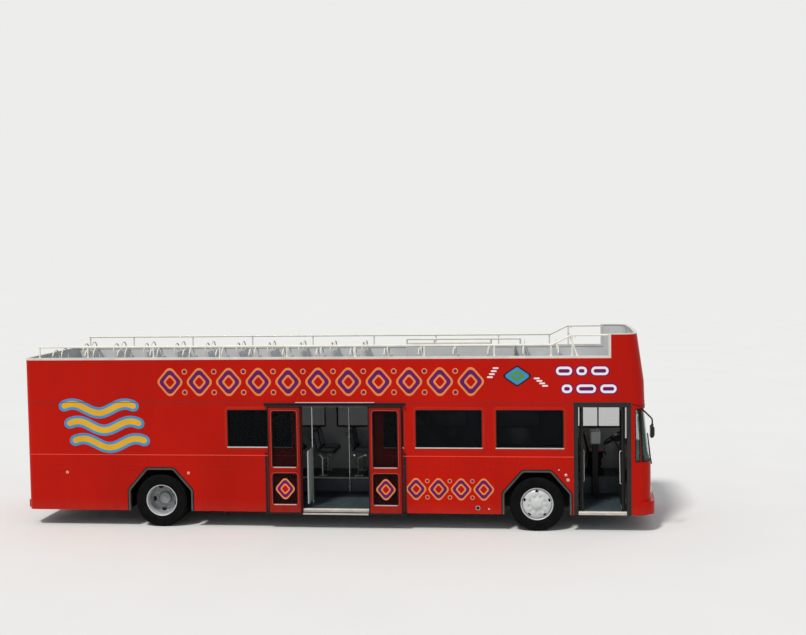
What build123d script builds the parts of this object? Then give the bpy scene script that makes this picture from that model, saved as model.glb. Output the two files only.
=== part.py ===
from build123d import *
import math
import os

# Open top double decker bus, in millimetres. +X is forward, +Y is the driver's side, +Z is up.
# The origin is on the ground, under the middle of the bus.

# Overall sizes
overall_length = 11910
body_width = 2590
wheelbase = 7075
front_overhang = 2160
bumper_depth = 60

# Levels above the ground
skirt_z = 316
floor_z = 380
window_sill_z = 1540
window_top_z = 2238
door_top_z = 2310
deck_z = 2385
parapet_height = 795
cap_thick = 42
cap_overhang = 10
cowl_height = 1219
cowl_cap_thick = 18
side_rail_rise = 204
front_rail_drop = 8

# Thicknesses
wall = 60
skin = 35
lining = 15
floor_thick = 60
deck_thick = 100
sheet = 20
glass = 8
fit = 0.3
running_gap = 6

# Places that follow from the sizes above
coaming_z = deck_z + parapet_height
cap_z = coaming_z + cap_thick
side_rail_z = cap_z + side_rail_rise
cowl_top_z = deck_z + cowl_height
front_rail_z = cowl_top_z - front_rail_drop
half_width = body_width / 2
inner_half = half_width - wall
front_axle_x = overall_length / 2 - front_overhang
rear_axle_x = front_axle_x - wheelbase
rear_face_x = -overall_length / 2 + bumper_depth
rear_wrap_x = rear_face_x + 200
rear_corner = 120

# Front in plan: nearly flat, with round corners; the nose is its foremost point at each level
front_corner = 260
front_bow = 27
front_bumper_reach = 70
nose_low_x = overall_length / 2 - front_bumper_reach
windscreen_base_z = 1240
glass_frame = 50
nose_levels = [
    # level z, nose x
    (windscreen_base_z, nose_low_x),
    (door_top_z, nose_low_x - 105),
    (deck_z + 365, nose_low_x - 120),
    (cowl_top_z, nose_low_x - 240),
]

# Entry door, ahead of the front wheel on the kerb side
entry_frame_x0 = front_axle_x + 667
entry_frame_x1 = front_axle_x + 1700
entry_x0 = front_axle_x + 746
entry_x1 = front_axle_x + 1620
entry_top_z = 2290
leaf_thick = 35
leaf_rail_radius = 14
leaf_rail_standoff = 42
pivot_inset = 44
pivot_y = -inner_half + 10

# Centre door, with two leaves that slide along the outside of the wall
centre_x0 = front_axle_x - 4340
centre_x1 = front_axle_x - 3090
centre_leaf_width = 622
centre_leaf_thick = 40
centre_leaf_gap = 20
leaf_foot_z = 321
rail_height = 28

# Windows: start and end in x
side_window = 1222
right_windows = [
    # start x, length
    (front_axle_x - 5752, side_window),
    (front_axle_x - 2800, 360),
    (front_axle_x - 2209, side_window),
    (front_axle_x - 732, side_window),
]
left_windows = [
    (front_axle_x - 5580, side_window),
    (front_axle_x - 4105, side_window),
    (front_axle_x - 2630, side_window),
    (front_axle_x - 1155, side_window),
    (front_axle_x + 830, 850),
]
window_corner = 45

# Wheels
tyre_radius = 500
tyre_width = 296
tyre_facets = 48
wheel_centre_y = half_width - 25 - tyre_width / 2
twin_spacing = 335
rim_seat_radius = 290
rim_flange_radius = 298.5
rim_width = 228
rim_lip = 10
spindle_radius = 40
hand_holes = 5
kingpin_y = 1000
kingpin_radius = 22
boss_radius = 45
boss_height = 150

# Wheel arches and housings
arch_half = 600
arch_flat = 250
arch_shoulder_z = 700
arch_top_z = 1100
housing_half = 640
housing_inner_y = 640
housing_top_z = 1160
rear_housing_inner_y = 590

# Lower deck
bulkhead_x = right_windows[0][0] - 118
platform_z = 660
platform_x1 = front_axle_x - 2650
driver_floor_z = 700
driver_floor_x0 = front_axle_x + 670
seat_width = 860
seat_wall_gap = 45
seat_outer_y = inner_half - seat_wall_gap
aisle_half = seat_outer_y - seat_width

# Stairs behind the front left wheel, climbing to the rear
stair_foot_x = front_axle_x - 720
stair_risers = 9
tread = 230
stair_y0 = 550
stair_y1 = inner_half - 30
stair_rise = (deck_z - floor_z) / stair_risers
stair_head_x = stair_foot_x - (stair_risers - 1) * tread
stair_hole_x1 = front_axle_x - 450

# Upper deck seats, in rows from the front to the rear panel; the left rows leave out the stairs
seat_pitch = 640
seat_depth = 460
seat_lean = 40
front_row_x = front_axle_x + 420
rear_seat_room = 500
stair_room = 100

# Running gear
rail_y = 430
rail_section = 80
rail_top_z = skirt_z + 4
rear_rail_z = 760
jack_pad_x = [front_axle_x - 1195, rear_axle_x + 1680]
jack_pad_length = 140
jack_pad_thick = 25
tow_eye_radius = 25
tow_tongue_thick = 35
engine_rear_gap = 180
engine_axle_gap = 1175
engine_width = 720
engine_top_z = 1180
engine_foot_z = 430


def block(x0, x1, y0, y1, z0, z1):
    size = Box(x1 - x0, y1 - y0, z1 - z0)
    return Pos((x0 + x1) / 2, (y0 + y1) / 2, (z0 + z1) / 2) * size


def side_plate(points, y0, y1):
    """A plate from an outline of (x, z) points, from y0 to y1."""
    face = make_face(Polyline(*[(x, y0, z) for x, z in points], close=True))
    return extrude(face, amount=y1 - y0, dir=(0, 1, 0))


def tube(start, end, radius):
    a = Vector(*start)
    b = Vector(*end)
    return Plane(a, z_dir=b - a) * Cylinder(radius, (b - a).length, align=(Align.CENTER, Align.CENTER, Align.MIN))


def mirrored(shape):
    return mirror(shape, about=Plane.XZ)


def nose_x(z):
    """The front's foremost point at a level, on straight lines between the levels of the table."""
    if z <= nose_levels[0][0]:
        return nose_levels[0][1]
    for (z0, x0), (z1, x1) in zip(nose_levels, nose_levels[1:]):
        if z <= z1:
            return x0 + (x1 - x0) * (z - z0) / (z1 - z0)
    return nose_levels[-1][1]


def front_outline(z, level_nose, back_x, inset=0):
    """The plan of the front at one level: two straight sides, two round corners and a slight bow."""
    half = half_width - inset
    radius = front_corner - inset
    nose = level_nose - inset
    depth = front_corner + front_bow - inset
    corner_x = nose - depth
    corner_y = half - radius
    bow = (depth ** 2 + corner_y ** 2 - radius ** 2) / (2 * (depth - radius))
    turn = math.atan2(corner_y, corner_x - nose + bow)
    join_x = nose - bow + bow * math.cos(turn)
    join_y = bow * math.sin(turn)
    lean = (math.pi / 2 - turn) / 2 + turn
    mid_x = corner_x + radius * math.cos(lean)
    mid_y = corner_y + radius * math.sin(lean)
    edges = [
        Line((back_x, -half, z), (corner_x, -half, z)),
        ThreePointArc((corner_x, -half, z), (mid_x, -mid_y, z), (join_x, -join_y, z)),
        ThreePointArc((join_x, -join_y, z), (nose, 0, z), (join_x, join_y, z)),
        ThreePointArc((join_x, join_y, z), (mid_x, mid_y, z), (corner_x, half, z)),
        Line((corner_x, half, z), (back_x, half, z)),
        Line((back_x, half, z), (back_x, -half, z)),
    ]
    return make_face(Wire(edges))


def front_block(z0, z1, back_x, inset=0, nose=None):
    """A solid front between two levels, upright where one nose is given, else following the table."""
    if nose is not None:
        return extrude(front_outline(z0, nose, back_x, inset), amount=z1 - z0, dir=(0, 0, 1))
    levels = [z0] + [z for z, x in nose_levels if z0 < z < z1] + [z1]
    solid = None
    for low, high in zip(levels, levels[1:]):
        rake = Vector(nose_x(high) - nose_x(low), 0, high - low)
        plan = front_outline(low, nose_x(low), back_x - 300, inset)
        part = extrude(plan, amount=rake.length, dir=rake.normalized())
        part &= block(back_x, overall_length, -half_width, half_width, low, high)
        solid = part if solid is None else solid + part
    return solid


def front_shell(z0, z1, back_x, outer, inner, nose=None):
    """The skin between two insets of the front."""
    low = z0 - 1 if nose is not None else z0
    high = z1 + 1 if nose is not None else z1
    return front_block(z0, z1, back_x, outer, nose) - front_block(low, high, back_x - 1, inner, nose)


def window_holes(windows, y0, y1, clearance=0):
    """Round-cornered window openings, through the wall from y0 to y1."""
    holes = []
    for start, length in windows:
        hole = block(start + clearance, start + length - clearance, y0, y1,
                     window_sill_z + clearance, window_top_z - clearance)
        holes.append(fillet(hole.edges().filter_by(Axis.Y), window_corner))
    return holes


def arch_hole(axle_x, y0, y1):
    points = [
        (axle_x - arch_half, skirt_z - 10),
        (axle_x - arch_half, arch_shoulder_z),
        (axle_x - arch_flat, arch_top_z),
        (axle_x + arch_flat, arch_top_z),
        (axle_x + arch_half, arch_shoulder_z),
        (axle_x + arch_half, skirt_z - 10),
    ]
    return side_plate(points, y0, y1)


def lower_wall_right(x0, x1, z0, axle_x=None):
    """One panel of the kerb side, with the windows and the wheel arch that fall in it."""
    body = block(x0, x1, -half_width, -inner_half, z0, deck_z)
    if axle_x is not None:
        body -= arch_hole(axle_x, -half_width - 5, -inner_half + 5)
    for hole in window_holes(right_windows, -half_width - 5, -inner_half + 5):
        body -= hole
    return body


def lower_wall_left():
    body = block(rear_wrap_x, entry_frame_x1, inner_half, half_width, skirt_z, deck_z)
    for axle in (front_axle_x, rear_axle_x):
        body -= arch_hole(axle, inner_half - 5, half_width + 5)
    for hole in window_holes(left_windows, inner_half - 5, half_width + 5):
        body -= hole
    return body


def side_windows():
    middle = half_width - wall / 2
    panes = []
    for windows, side in ((right_windows, -1), (left_windows, 1)):
        y0, y1 = sorted((side * (middle - glass / 2), side * (middle + glass / 2)))
        panes += window_holes(windows, y0, y1, fit)
    return panes


def rear_shell(z0, z1, outer, inner):
    """The rear end's skin between two insets, round at its two corners."""
    def plan(inset):
        shape = block(rear_face_x + inset, rear_wrap_x + 50, -half_width + inset, half_width - inset, z0, z1)
        corners = shape.edges().filter_by(Axis.Z).sort_by(Axis.X)[:2]
        return fillet(corners, rear_corner - inset)
    skin_part = plan(outer) - plan(inner)
    return skin_part & block(rear_face_x - 10, rear_wrap_x, -half_width, half_width, z0, z1)


# Engine door in the rear wall
engine_door_half = 850
engine_door_z0 = 500
engine_door_z1 = 1300
engine_door_bulge = 34
hinge_radius = 11
hinge_drop = 12
hinge_z = engine_door_z1 + hinge_drop
hinge_x = rear_face_x - engine_door_bulge - hinge_radius
hinge_spans = [-600, 0, 600]
hinge_length = 90
lug_length = 30
lug_height = 40
lug_root = 10

# Lamps: y, z and radius
head_lamps = [(880, 690, 88), (680, 690, 70)]
tail_lamps = [(1060, 760, 48), (1060, 900, 48), (1060, 1040, 48)]
lamp_depth = 40


def lamps(clearance=0):
    shapes = []
    for side in (-1, 1):
        for y, z, radius in head_lamps:
            front = nose_low_x - front_bow
            shapes.append(tube((front - lamp_depth, side * y, z), (front + 20, side * y, z), radius + clearance))
        for y, z, radius in tail_lamps:
            front = rear_face_x - 8
            shapes.append(tube((front + lamp_depth, side * y, z), (front, side * y, z), radius + clearance))
    return shapes


def rear_wall():
    body = rear_shell(skirt_z, deck_z, 0, wall)
    body -= block(rear_face_x - 20, rear_face_x + wall + 20, -engine_door_half, engine_door_half,
                  engine_door_z0 - running_gap, engine_door_z1 + running_gap)
    for lamp in lamps():
        body -= lamp
    for y in hinge_spans:
        for side in (-1, 1):
            edge = y + side * (hinge_length / 2 + fit)
            y0, y1 = sorted((edge, edge + side * lug_length))
            body += block(hinge_x - hinge_radius, rear_face_x + lug_root, y0, y1, hinge_z, hinge_z + lug_height)
            body += tube((hinge_x, y0, hinge_z), (hinge_x, y1, hinge_z), hinge_radius)
    return body


def engine_door():
    gap = running_gap
    body = block(rear_face_x - engine_door_bulge, rear_face_x + 10, -engine_door_half + gap,
                 engine_door_half - gap, engine_door_z0, engine_door_z1)
    body = fillet(body.edges().filter_by(Axis.X), 40)
    for row in range(8):
        z = engine_door_z0 + 150 + row * 70
        body -= block(rear_face_x - engine_door_bulge - 1, rear_face_x + 20, -600, 600, z, z + 30)
    for y in hinge_spans:
        ends = ((hinge_x, y - hinge_length / 2, hinge_z), (hinge_x, y + hinge_length / 2, hinge_z))
        body += tube(*ends, hinge_radius - 1)
        body += block(hinge_x - 4, rear_face_x - engine_door_bulge + 6, y - hinge_length / 2,
                      y + hinge_length / 2, hinge_z - 60, hinge_z)
    return body


def front_panel():
    body = front_shell(skirt_z, windscreen_base_z, entry_frame_x1, 0, wall, nose_low_x)
    for lamp in lamps():
        body -= lamp
    return body


def screen_cuts(clearance=0):
    """Boxes that cut the windscreen's four panes out of its surround: two in front, two round the corners."""
    z0 = windscreen_base_z + glass_frame + clearance
    z1 = door_top_z - glass_frame - clearance
    cuts = []
    for side in (-1, 1):
        y0, y1 = sorted((side * (25 + clearance), side * (half_width + 10)))
        cuts.append(block(front_axle_x + 1890 + clearance, front_axle_x + 2300, y0, y1, z0, z1))
        y0, y1 = sorted((side * (half_width - 200), side * (half_width + 10)))
        cuts.append(block(front_axle_x + 1765 + clearance, front_axle_x + 1860 - clearance, y0, y1, z0, z1))
    return cuts


def windscreen_surround():
    body = front_shell(windscreen_base_z, door_top_z, entry_frame_x1, 0, wall)
    for cut in screen_cuts():
        body -= cut
    return body


def windscreen():
    pane = front_shell(windscreen_base_z, door_top_z, entry_frame_x1, 20, 20 + glass)
    return [pane & cut for cut in screen_cuts(fit)]


cowl_rear_x = nose_low_x - 745
cowl_seam_x = nose_low_x - 590
cap_post = 45


def front_cowl():
    brow = front_shell(door_top_z, deck_z, entry_frame_x1, 0, skin)
    return brow + front_shell(deck_z, cowl_top_z, cowl_seam_x, 0, skin)


def upper_side_panels():
    points = [
        (rear_wrap_x, deck_z),
        (cowl_seam_x, deck_z),
        (cowl_seam_x, cowl_top_z),
        (cowl_rear_x, cowl_top_z),
        (cowl_rear_x, coaming_z),
        (rear_wrap_x, coaming_z),
    ]
    right = side_plate(points, -half_width, -half_width + skin)
    return [right, mirrored(right)]


def upper_rear_panel():
    return rear_shell(deck_z, coaming_z, 0, skin)


def deck_lining():
    """The pale inner faces of the upper deck, behind the side panels, the rear panel and the cowl."""
    points = [
        (rear_wrap_x, deck_z),
        (cowl_seam_x, deck_z),
        (cowl_seam_x, cowl_top_z),
        (cowl_rear_x, cowl_top_z),
        (cowl_rear_x, coaming_z),
        (rear_wrap_x, coaming_z),
    ]
    y1 = -half_width + skin + lining
    right = side_plate(points, -half_width + skin, y1)
    front = front_shell(deck_z, cowl_top_z, cowl_seam_x, skin, skin + lining)
    rear = rear_shell(deck_z, coaming_z, skin, skin + lining)
    return right + mirrored(right) + front + rear


def parapet_cap():
    """The grey capping along the parapet, up the cowl's rear edges and round the cowl's top."""
    inner = skin + lining
    edge = inner + cap_overhang
    side = block(rear_wrap_x, cowl_rear_x, -half_width, -half_width + edge, coaming_z, cap_z)
    post = block(cowl_rear_x - cap_post, cowl_rear_x, -half_width, -half_width + edge, cap_z, cowl_top_z)
    rear = rear_shell(coaming_z, cap_z, 0, edge)
    top_z = cowl_top_z + cowl_cap_thick
    top = front_shell(cowl_top_z, top_z, cowl_rear_x - cap_post, 0, edge, nose_x(cowl_top_z))
    return side + post + mirrored(side + post) + rear + top


def upper_floor():
    nose = nose_x(deck_z)
    slab = front_block(deck_z - deck_thick, deck_z, rear_face_x + wall, 0, nose)
    slab &= front_block(deck_z - deck_thick - 1, deck_z + 1, rear_face_x + wall - 1, wall, nose)
    slab &= block(rear_face_x + wall, overall_length, -inner_half, inner_half, 0, cowl_top_z)
    slab = slab - block(stair_head_x, stair_hole_x1, stair_y0, half_width, 0, cowl_top_z)
    corners = slab.edges().filter_by(Axis.Z).group_by(Axis.X)[0]
    return fillet(corners, rear_corner - wall)


def lower_floor():
    slab = front_block(floor_z - floor_thick, floor_z, bulkhead_x, wall, nose_low_x)
    for side in (-1, 1):
        y0, y1 = sorted((side * (housing_inner_y - sheet), side * half_width))
        slab -= block(front_axle_x - housing_half - sheet, front_axle_x + housing_half + sheet, y0, y1, 0, deck_z)
    slab += block(bulkhead_x, platform_x1, aisle_half, inner_half, floor_z, platform_z)
    drivers = front_block(floor_z, driver_floor_z, driver_floor_x0, wall, nose_low_x)
    slab += drivers & block(driver_floor_x0, overall_length, aisle_half, inner_half, floor_z, driver_floor_z)
    for x0, x1 in ((entry_x0, entry_x1), (centre_x0, centre_x1)):
        slab += block(x0, x1, -half_width, -inner_half, floor_z - floor_thick, floor_z - 12)
    return slab


def rear_bulkhead():
    return block(bulkhead_x - sheet, bulkhead_x, -inner_half, inner_half, rail_top_z - rail_section, deck_z - deck_thick)


def wheel_housings():
    solids = []
    for axle, inner_y in ((front_axle_x, housing_inner_y), (rear_axle_x, rear_housing_inner_y)):
        x0 = axle - housing_half
        x1 = axle + housing_half
        outer = block(x0 - sheet, x1 + sheet, -inner_half, -inner_y + sheet, floor_z - floor_thick, housing_top_z + sheet)
        outer -= block(x0, x1, -inner_half - 10, -inner_y, 0, housing_top_z)
        if axle == rear_axle_x:
            outer -= block(axle - 330, axle + 330, -inner_y - 10, -inner_y + sheet + 10, 0, arch_shoulder_z + 100)
        solids += [outer, mirrored(outer)]
    return solids


def stairs():
    points = [(stair_foot_x, floor_z)]
    for step in range(stair_risers - 1):
        x = stair_foot_x - step * tread
        points += [(x, floor_z + (step + 1) * stair_rise), (x - tread, floor_z + (step + 1) * stair_rise)]
    points[-1] = (stair_head_x + sheet, points[-1][1])
    points += [
        (stair_head_x + sheet, deck_z - deck_thick),
        (stair_head_x, deck_z - deck_thick),
        (stair_head_x, deck_z - deck_thick - stair_rise),
        (stair_foot_x - tread, floor_z),
    ]
    return side_plate(points, stair_y0, stair_y1)


def stair_guard():
    """Panels along the stair's inner side and its front end, with a rail above them."""
    y0 = stair_y0 - 40
    panel_x1 = front_axle_x - 860
    panel = block(stair_head_x, panel_x1, y0, y0 + sheet, deck_z, 3250)
    end = block(stair_hole_x1 + 10, stair_hole_x1 + 30, y0, stair_y1, deck_z, 3250)
    rail_y0 = y0 + sheet / 2
    rail_z = 3400
    rail_x1 = front_axle_x - 300
    rail = tube((stair_head_x + 17, rail_y0, rail_z), (rail_x1, rail_y0, rail_z), 17)
    for x in (stair_head_x + 17, stair_head_x + 560, panel_x1 - 17, rail_x1):
        rail += tube((x, rail_y0, deck_z), (x, rail_y0, rail_z), 17)
    return [panel + rail + end]


rail_radius = 18
rail_post_radius = 14
rail_rear_x = rear_face_x + 290
rail_front_post_x = front_axle_x - 750
rail_post_pitch = 1280
rail_rise_x0 = front_axle_x + 293
rail_rise_x1 = front_axle_x + 635
brace_spread = 100
rail_y_middle = half_width - (skin + lining) / 2


def side_rails():
    """A rail above each parapet, which climbs to a higher rail beside the front seats."""
    path = [
        (rail_rear_x, -rail_y_middle, side_rail_z),
        (rail_rise_x0, -rail_y_middle, side_rail_z),
        (rail_rise_x1, -rail_y_middle, front_rail_z),
        (cowl_rear_x - cap_post, -rail_y_middle, front_rail_z),
    ]
    rail = None
    for start, end in zip(path, path[1:]):
        piece = tube(start, end, rail_radius)
        rail = piece if rail is None else rail + piece
    for corner in path[1:3]:
        rail += Pos(*corner) * Sphere(rail_radius)
    return [rail, mirrored(rail)]


def rail_post_places():
    """The x of each post under the long rail: one at each end, and the rest at one pitch."""
    places = [rail_rear_x + rail_radius, rail_rise_x0 - rail_radius]
    x = rail_front_post_x
    while x > rail_rear_x + rail_post_pitch / 2:
        places.append(x)
        x -= rail_post_pitch
    return places


def rail_posts():
    """The posts that stand on the parapet cap under the rails, with a leaning brace at the higher rail."""
    top_z = side_rail_z - rail_radius - fit
    posts = []
    for x in rail_post_places():
        posts.append(tube((x, -rail_y_middle, cap_z), (x, -rail_y_middle, top_z), rail_post_radius))
    top_z = front_rail_z - rail_radius - fit
    x = rail_rise_x1 + rail_radius
    high = tube((x, -rail_y_middle, cap_z), (x, -rail_y_middle, top_z), rail_post_radius)
    foot = (x + brace_spread, -rail_y_middle, cap_z - 20)
    brace = tube(foot, (x, -rail_y_middle, top_z - brace_spread), rail_post_radius)
    high += brace & block(0, overall_length, -half_width, half_width, cap_z, cowl_top_z)
    posts.append(high)
    return posts + [mirrored(post) for post in posts]


def seat(back_x, y0, base_z, cushion_height, back_height, width):
    """A forward-facing double seat: leg, cushion and leaning back in one solid."""
    cushion_z = base_z + cushion_height
    points = [
        (back_x - seat_lean, base_z + back_height),
        (back_x + 20, base_z + back_height),
        (back_x + 95, cushion_z),
        (back_x + seat_depth, cushion_z + 20),
        (back_x + seat_depth, cushion_z - 70),
        (back_x + 300, cushion_z - 90),
        (back_x + 260, base_z),
        (back_x + 120, base_z),
        (back_x + 80, cushion_z - 90),
        (back_x + 20, cushion_z - 60),
    ]
    return side_plate(points, y0, y0 + width)


upper_back_height = 790
upper_cushion_height = 430
handle_radius = 170
handle_tube_radius = 13
handle_setback = 10


def upper_seat_places():
    """The x of each seat's back and the y of its right end, for the right and the left rows."""
    places = []
    x = front_row_x
    while x > rear_face_x + rear_seat_room:
        places.append((x, -aisle_half - seat_width))
        if x + seat_depth < stair_head_x - stair_room or x - seat_lean > stair_hole_x1 + stair_room:
            places.append((x, aisle_half))
        x -= seat_pitch
    return places


def upper_seats():
    height = upper_cushion_height
    return [seat(x, y, deck_z, height, upper_back_height, seat_width) for x, y in upper_seat_places()]


def seat_handles():
    """Two arched hand loops across the top of each upper seat's back."""
    half_ring = Torus(handle_radius, handle_tube_radius, major_angle=180, align=None)
    arch = Rot(0, 0, 90) * Rot(90, 0, 0) * half_ring
    loops = []
    for x, y in upper_seat_places():
        for share in (0.25, 0.75):
            loops.append(Pos(x - handle_setback, y + seat_width * share, deck_z + upper_back_height) * arch)
    return loops


lower_seat_rows = [
    # back x from the front axle, start y, base level
    (-5760, aisle_half, platform_z),
    (-5210, aisle_half, platform_z),
    (-4490, aisle_half, platform_z),
    (-3770, aisle_half, platform_z),
    (-3140, aisle_half, platform_z),
    (-5300, -aisle_half - seat_width, floor_z),
    (-2330, -aisle_half - seat_width, floor_z),
    (-1590, -aisle_half - seat_width, floor_z),
]


def lower_seats():
    solids = []
    for x, y, base in lower_seat_rows:
        solids.append(seat(front_axle_x + x, y, base, 480 if base == platform_z else 450, 900, seat_width))
    return solids


pole_radius = 17
poles = [
    # x from the front axle, y, foot level
    (-4245, -780, floor_z),
    (-3708, 300, floor_z),
    (-3050, -800, floor_z),
    (-2600, -300, floor_z),
    (-700, -500, floor_z),
    (700, -790, floor_z),
    (700, 310, floor_z),
]


def grab_poles():
    solids = []
    for x, y, foot in poles:
        ends = ((front_axle_x + x, y, foot), (front_axle_x + x, y, deck_z - deck_thick))
        solids.append(tube(*ends, pole_radius))
    modesty_x = front_axle_x - 4245
    panel = block(modesty_x - 12, modesty_x + 12, -inner_half, -780, floor_z + 80, 1450)
    solids[0] = solids[0] + panel
    low = (front_axle_x + 800, -790, 980)
    high = (front_axle_x + 800, -790, 1660)
    entry_rail = tube(low, high, pole_radius)
    for point in (low, high):
        entry_rail += Pos(*point) * Sphere(pole_radius)
        entry_rail += tube((front_axle_x + 700, point[1], point[2]), point, pole_radius)
    solids[5] = solids[5] + entry_rail
    return solids


driver_x = front_axle_x + 900
driver_y = 740


def driver_seat():
    width = 500
    base = driver_floor_z
    y0 = driver_y - width / 2
    body = seat(driver_x, y0, base, 440, 830, width)
    return body


wheel_hub = (front_axle_x + 1500, driver_y, 1400)
wheel_tilt = 35
steering_wheel_radius = 230
column_radius = 30


def column_point(distance):
    """A point down the steering column from the middle of the steering wheel."""
    angle = math.radians(wheel_tilt)
    return (
        wheel_hub[0] + distance * math.sin(angle),
        wheel_hub[1],
        wheel_hub[2] - distance * math.cos(angle),
    )


def steering_wheel():
    ring = Torus(steering_wheel_radius - 16, 16) + Cylinder(45, 40)
    for turn in (0, 120, 240):
        spoke = Pos(steering_wheel_radius / 2, 0, 0) * Box(steering_wheel_radius - 40, 30, 14)
        ring += Rot(0, 0, turn) * spoke
    place = Plane(origin=wheel_hub, z_dir=Vector(*wheel_hub) - Vector(*column_point(100)))
    return place * ring


def dashboard():
    """The dash under the windscreen, with the steering column on it."""
    x0 = front_axle_x + 1640
    body = front_block(driver_floor_z, windscreen_base_z - 40, x0, wall, nose_low_x)
    body &= block(x0, overall_length, -200, inner_half, 0, deck_z)
    low = block(x0, x0 + 150, -300, inner_half + 10, driver_floor_z - 10, 950)
    body -= low
    step = front_block(floor_z, driver_floor_z, x0, wall, nose_low_x)
    body += step & block(x0, overall_length, -200, aisle_half, floor_z, driver_floor_z)
    column = tube(column_point(20 + fit), column_point(330), column_radius)
    return body + column


def fare_box():
    x = front_axle_x + 1126
    y = 200
    post = block(x - 60, x + 60, y - 60, y + 60, floor_z, 1380)
    head = block(x - 98, x + 98, y - 120, y + 120, 1380, 1640)
    return post + fillet(head.edges(), 20)


def entry_door_frame():
    frame = block(entry_frame_x0, entry_frame_x1, -half_width, -inner_half, skirt_z, deck_z)
    frame -= block(entry_x0, entry_x1, -half_width - 5, -inner_half + 5, skirt_z - 5, entry_top_z)
    return frame


def entry_leaf(hinge_at_rear):
    """An entry door leaf, standing open, with its pivot shaft and inner grab rail; and its pane."""
    leaf_length = (entry_x1 - entry_x0) / 2 - 12
    heel = pivot_inset - 5
    pivot_x = entry_x0 + pivot_inset
    x0 = pivot_x + 15
    y0 = pivot_y - heel
    y1 = y0 + leaf_length
    z0 = floor_z + 25
    z1 = entry_top_z - 15
    frame = block(x0, x0 + leaf_thick, y0, y1, z0, z1)
    hole = block(x0 - 5, x0 + leaf_thick + 5, y0 + 45, y1 - 45, z0 + 90, z1 - 60)
    frame -= fillet(hole.edges().filter_by(Axis.X), 30)
    shaft = tube((pivot_x, pivot_y, floor_z + fit), (pivot_x, pivot_y, deck_z - deck_thick - fit), 14)
    frame += shaft
    frame += block(pivot_x, x0 + 10, pivot_y - 10, pivot_y + 10, z0 + 200, z0 + 260)
    frame += block(pivot_x, x0 + 10, pivot_y - 10, pivot_y + 10, z1 - 260, z1 - 200)
    low = (x0 - leaf_rail_standoff, y1 - 25, 900)
    high = (x0 - leaf_rail_standoff, y1 - 25, 1650)
    rail = tube(low, high, leaf_rail_radius)
    for point in (low, high):
        rail += Pos(*point) * Sphere(leaf_rail_radius)
        rail += tube((x0 + 5, point[1], point[2]), point, leaf_rail_radius)
    frame += rail
    middle = x0 + leaf_thick / 2
    pane = block(middle - glass / 2, middle + glass / 2, y0 + 45 + fit, y1 - 45 - fit, z0 + 90 + fit, z1 - 60 - fit)
    pane = fillet(pane.edges().filter_by(Axis.X), 30)
    if hinge_at_rear:
        return frame, pane
    across = Plane(((entry_x0 + entry_x1) / 2, 0, 0), z_dir=(1, 0, 0))
    return mirror(frame, about=across), mirror(pane, about=across)


leaf_y1 = -half_width - centre_leaf_gap
leaf_y0 = leaf_y1 - centre_leaf_thick
rail_foot_z = leaf_foot_z - 34
rail_head_z = door_top_z - 5 + 6


def centre_door_rails():
    """A guide rail above and below the sliding leaves, outside the wall."""
    x0 = centre_x0 - centre_leaf_width - 70
    x1 = centre_x1 + centre_leaf_width + 70
    slot = (leaf_y0 + leaf_y1) / 2
    top = block(x0, x1, leaf_y0 + 2, -half_width, rail_head_z, rail_head_z + rail_height)
    top -= block(x0 - 1, x1 + 1, slot - 8 - fit, slot + 8 + fit, rail_head_z - 1, rail_head_z + 18)
    foot = block(x0, x1, leaf_y0 + 2, -half_width, rail_foot_z, rail_foot_z + rail_height)
    foot -= block(x0 - 1, x1 + 1, slot - 8 - fit, slot + 8 + fit, rail_foot_z + 10, rail_foot_z + rail_height + 1)
    return [top, foot]


def centre_leaf(at_rear):
    """A sliding leaf, standing open beside the doorway, and its two panes."""
    x1 = centre_x0 - 10
    x0 = x1 - centre_leaf_width
    z0 = leaf_foot_z
    z1 = rail_head_z - running_gap
    slot = (leaf_y0 + leaf_y1) / 2
    frame = block(x0, x1, leaf_y0, leaf_y1, z0, z1)
    panes = []
    for low, high in ((150, 731), (850, z1 - z0 - 85)):
        hole = block(x0 + 80, x1 - 80, leaf_y0 - 5, leaf_y1 + 5, z0 + low, z0 + high)
        frame -= fillet(hole.edges().filter_by(Axis.Y), 40)
        pane = block(x0 + 80 + fit, x1 - 80 - fit, slot - glass / 2, slot + glass / 2, z0 + low + fit, z0 + high - fit)
        panes.append(fillet(pane.edges().filter_by(Axis.Y), 40))
    for x in (x0 + 100, x1 - 160):
        frame += block(x, x + 60, slot - 8, slot + 8, z1 - 5, rail_head_z + 18 - fit)
        frame += block(x, x + 60, slot - 8, slot + 8, rail_foot_z + 10 + fit, z0 + 5)
    if at_rear:
        return [frame], panes
    across = Plane(((centre_x0 + centre_x1) / 2, 0, 0), z_dir=(1, 0, 0))
    return [mirror(frame, about=across)], [mirror(pane, about=across) for pane in panes]


def bumpers():
    front = front_block(330, 570, nose_low_x - 250, 0, nose_low_x + 70)
    front -= front_block(320, 580, nose_low_x - 260, 0, nose_low_x)
    front &= block(nose_low_x - 240, overall_length, -half_width, half_width, 0, 1000)
    rear = block(-overall_length / 2, rear_face_x, -1170, 1170, 330, 470)
    rear = fillet(rear.edges().filter_by(Axis.Z).sort_by(Axis.X)[:2], 50)
    return [front, rear]


def mirrors():
    """A mirror ahead of each front pillar, hung on an arm from the windscreen surround."""
    head = block(front_axle_x + 2015, front_axle_x + 2090, -1545, -1375, 1770, 1990)
    head = fillet(head.edges(), 25)
    elbow = (front_axle_x + 2052, -1460, 2120)
    root = (front_axle_x + 1860, -1180, 2285)
    arm = tube(root, elbow, 15) + Pos(*elbow) * Sphere(15) + tube(elbow, (elbow[0], elbow[1], 1980), 15)
    arm -= front_block(windscreen_base_z, cowl_top_z, front_axle_x + 1500)
    right = arm + head
    return [right, mirrored(right)]


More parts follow.
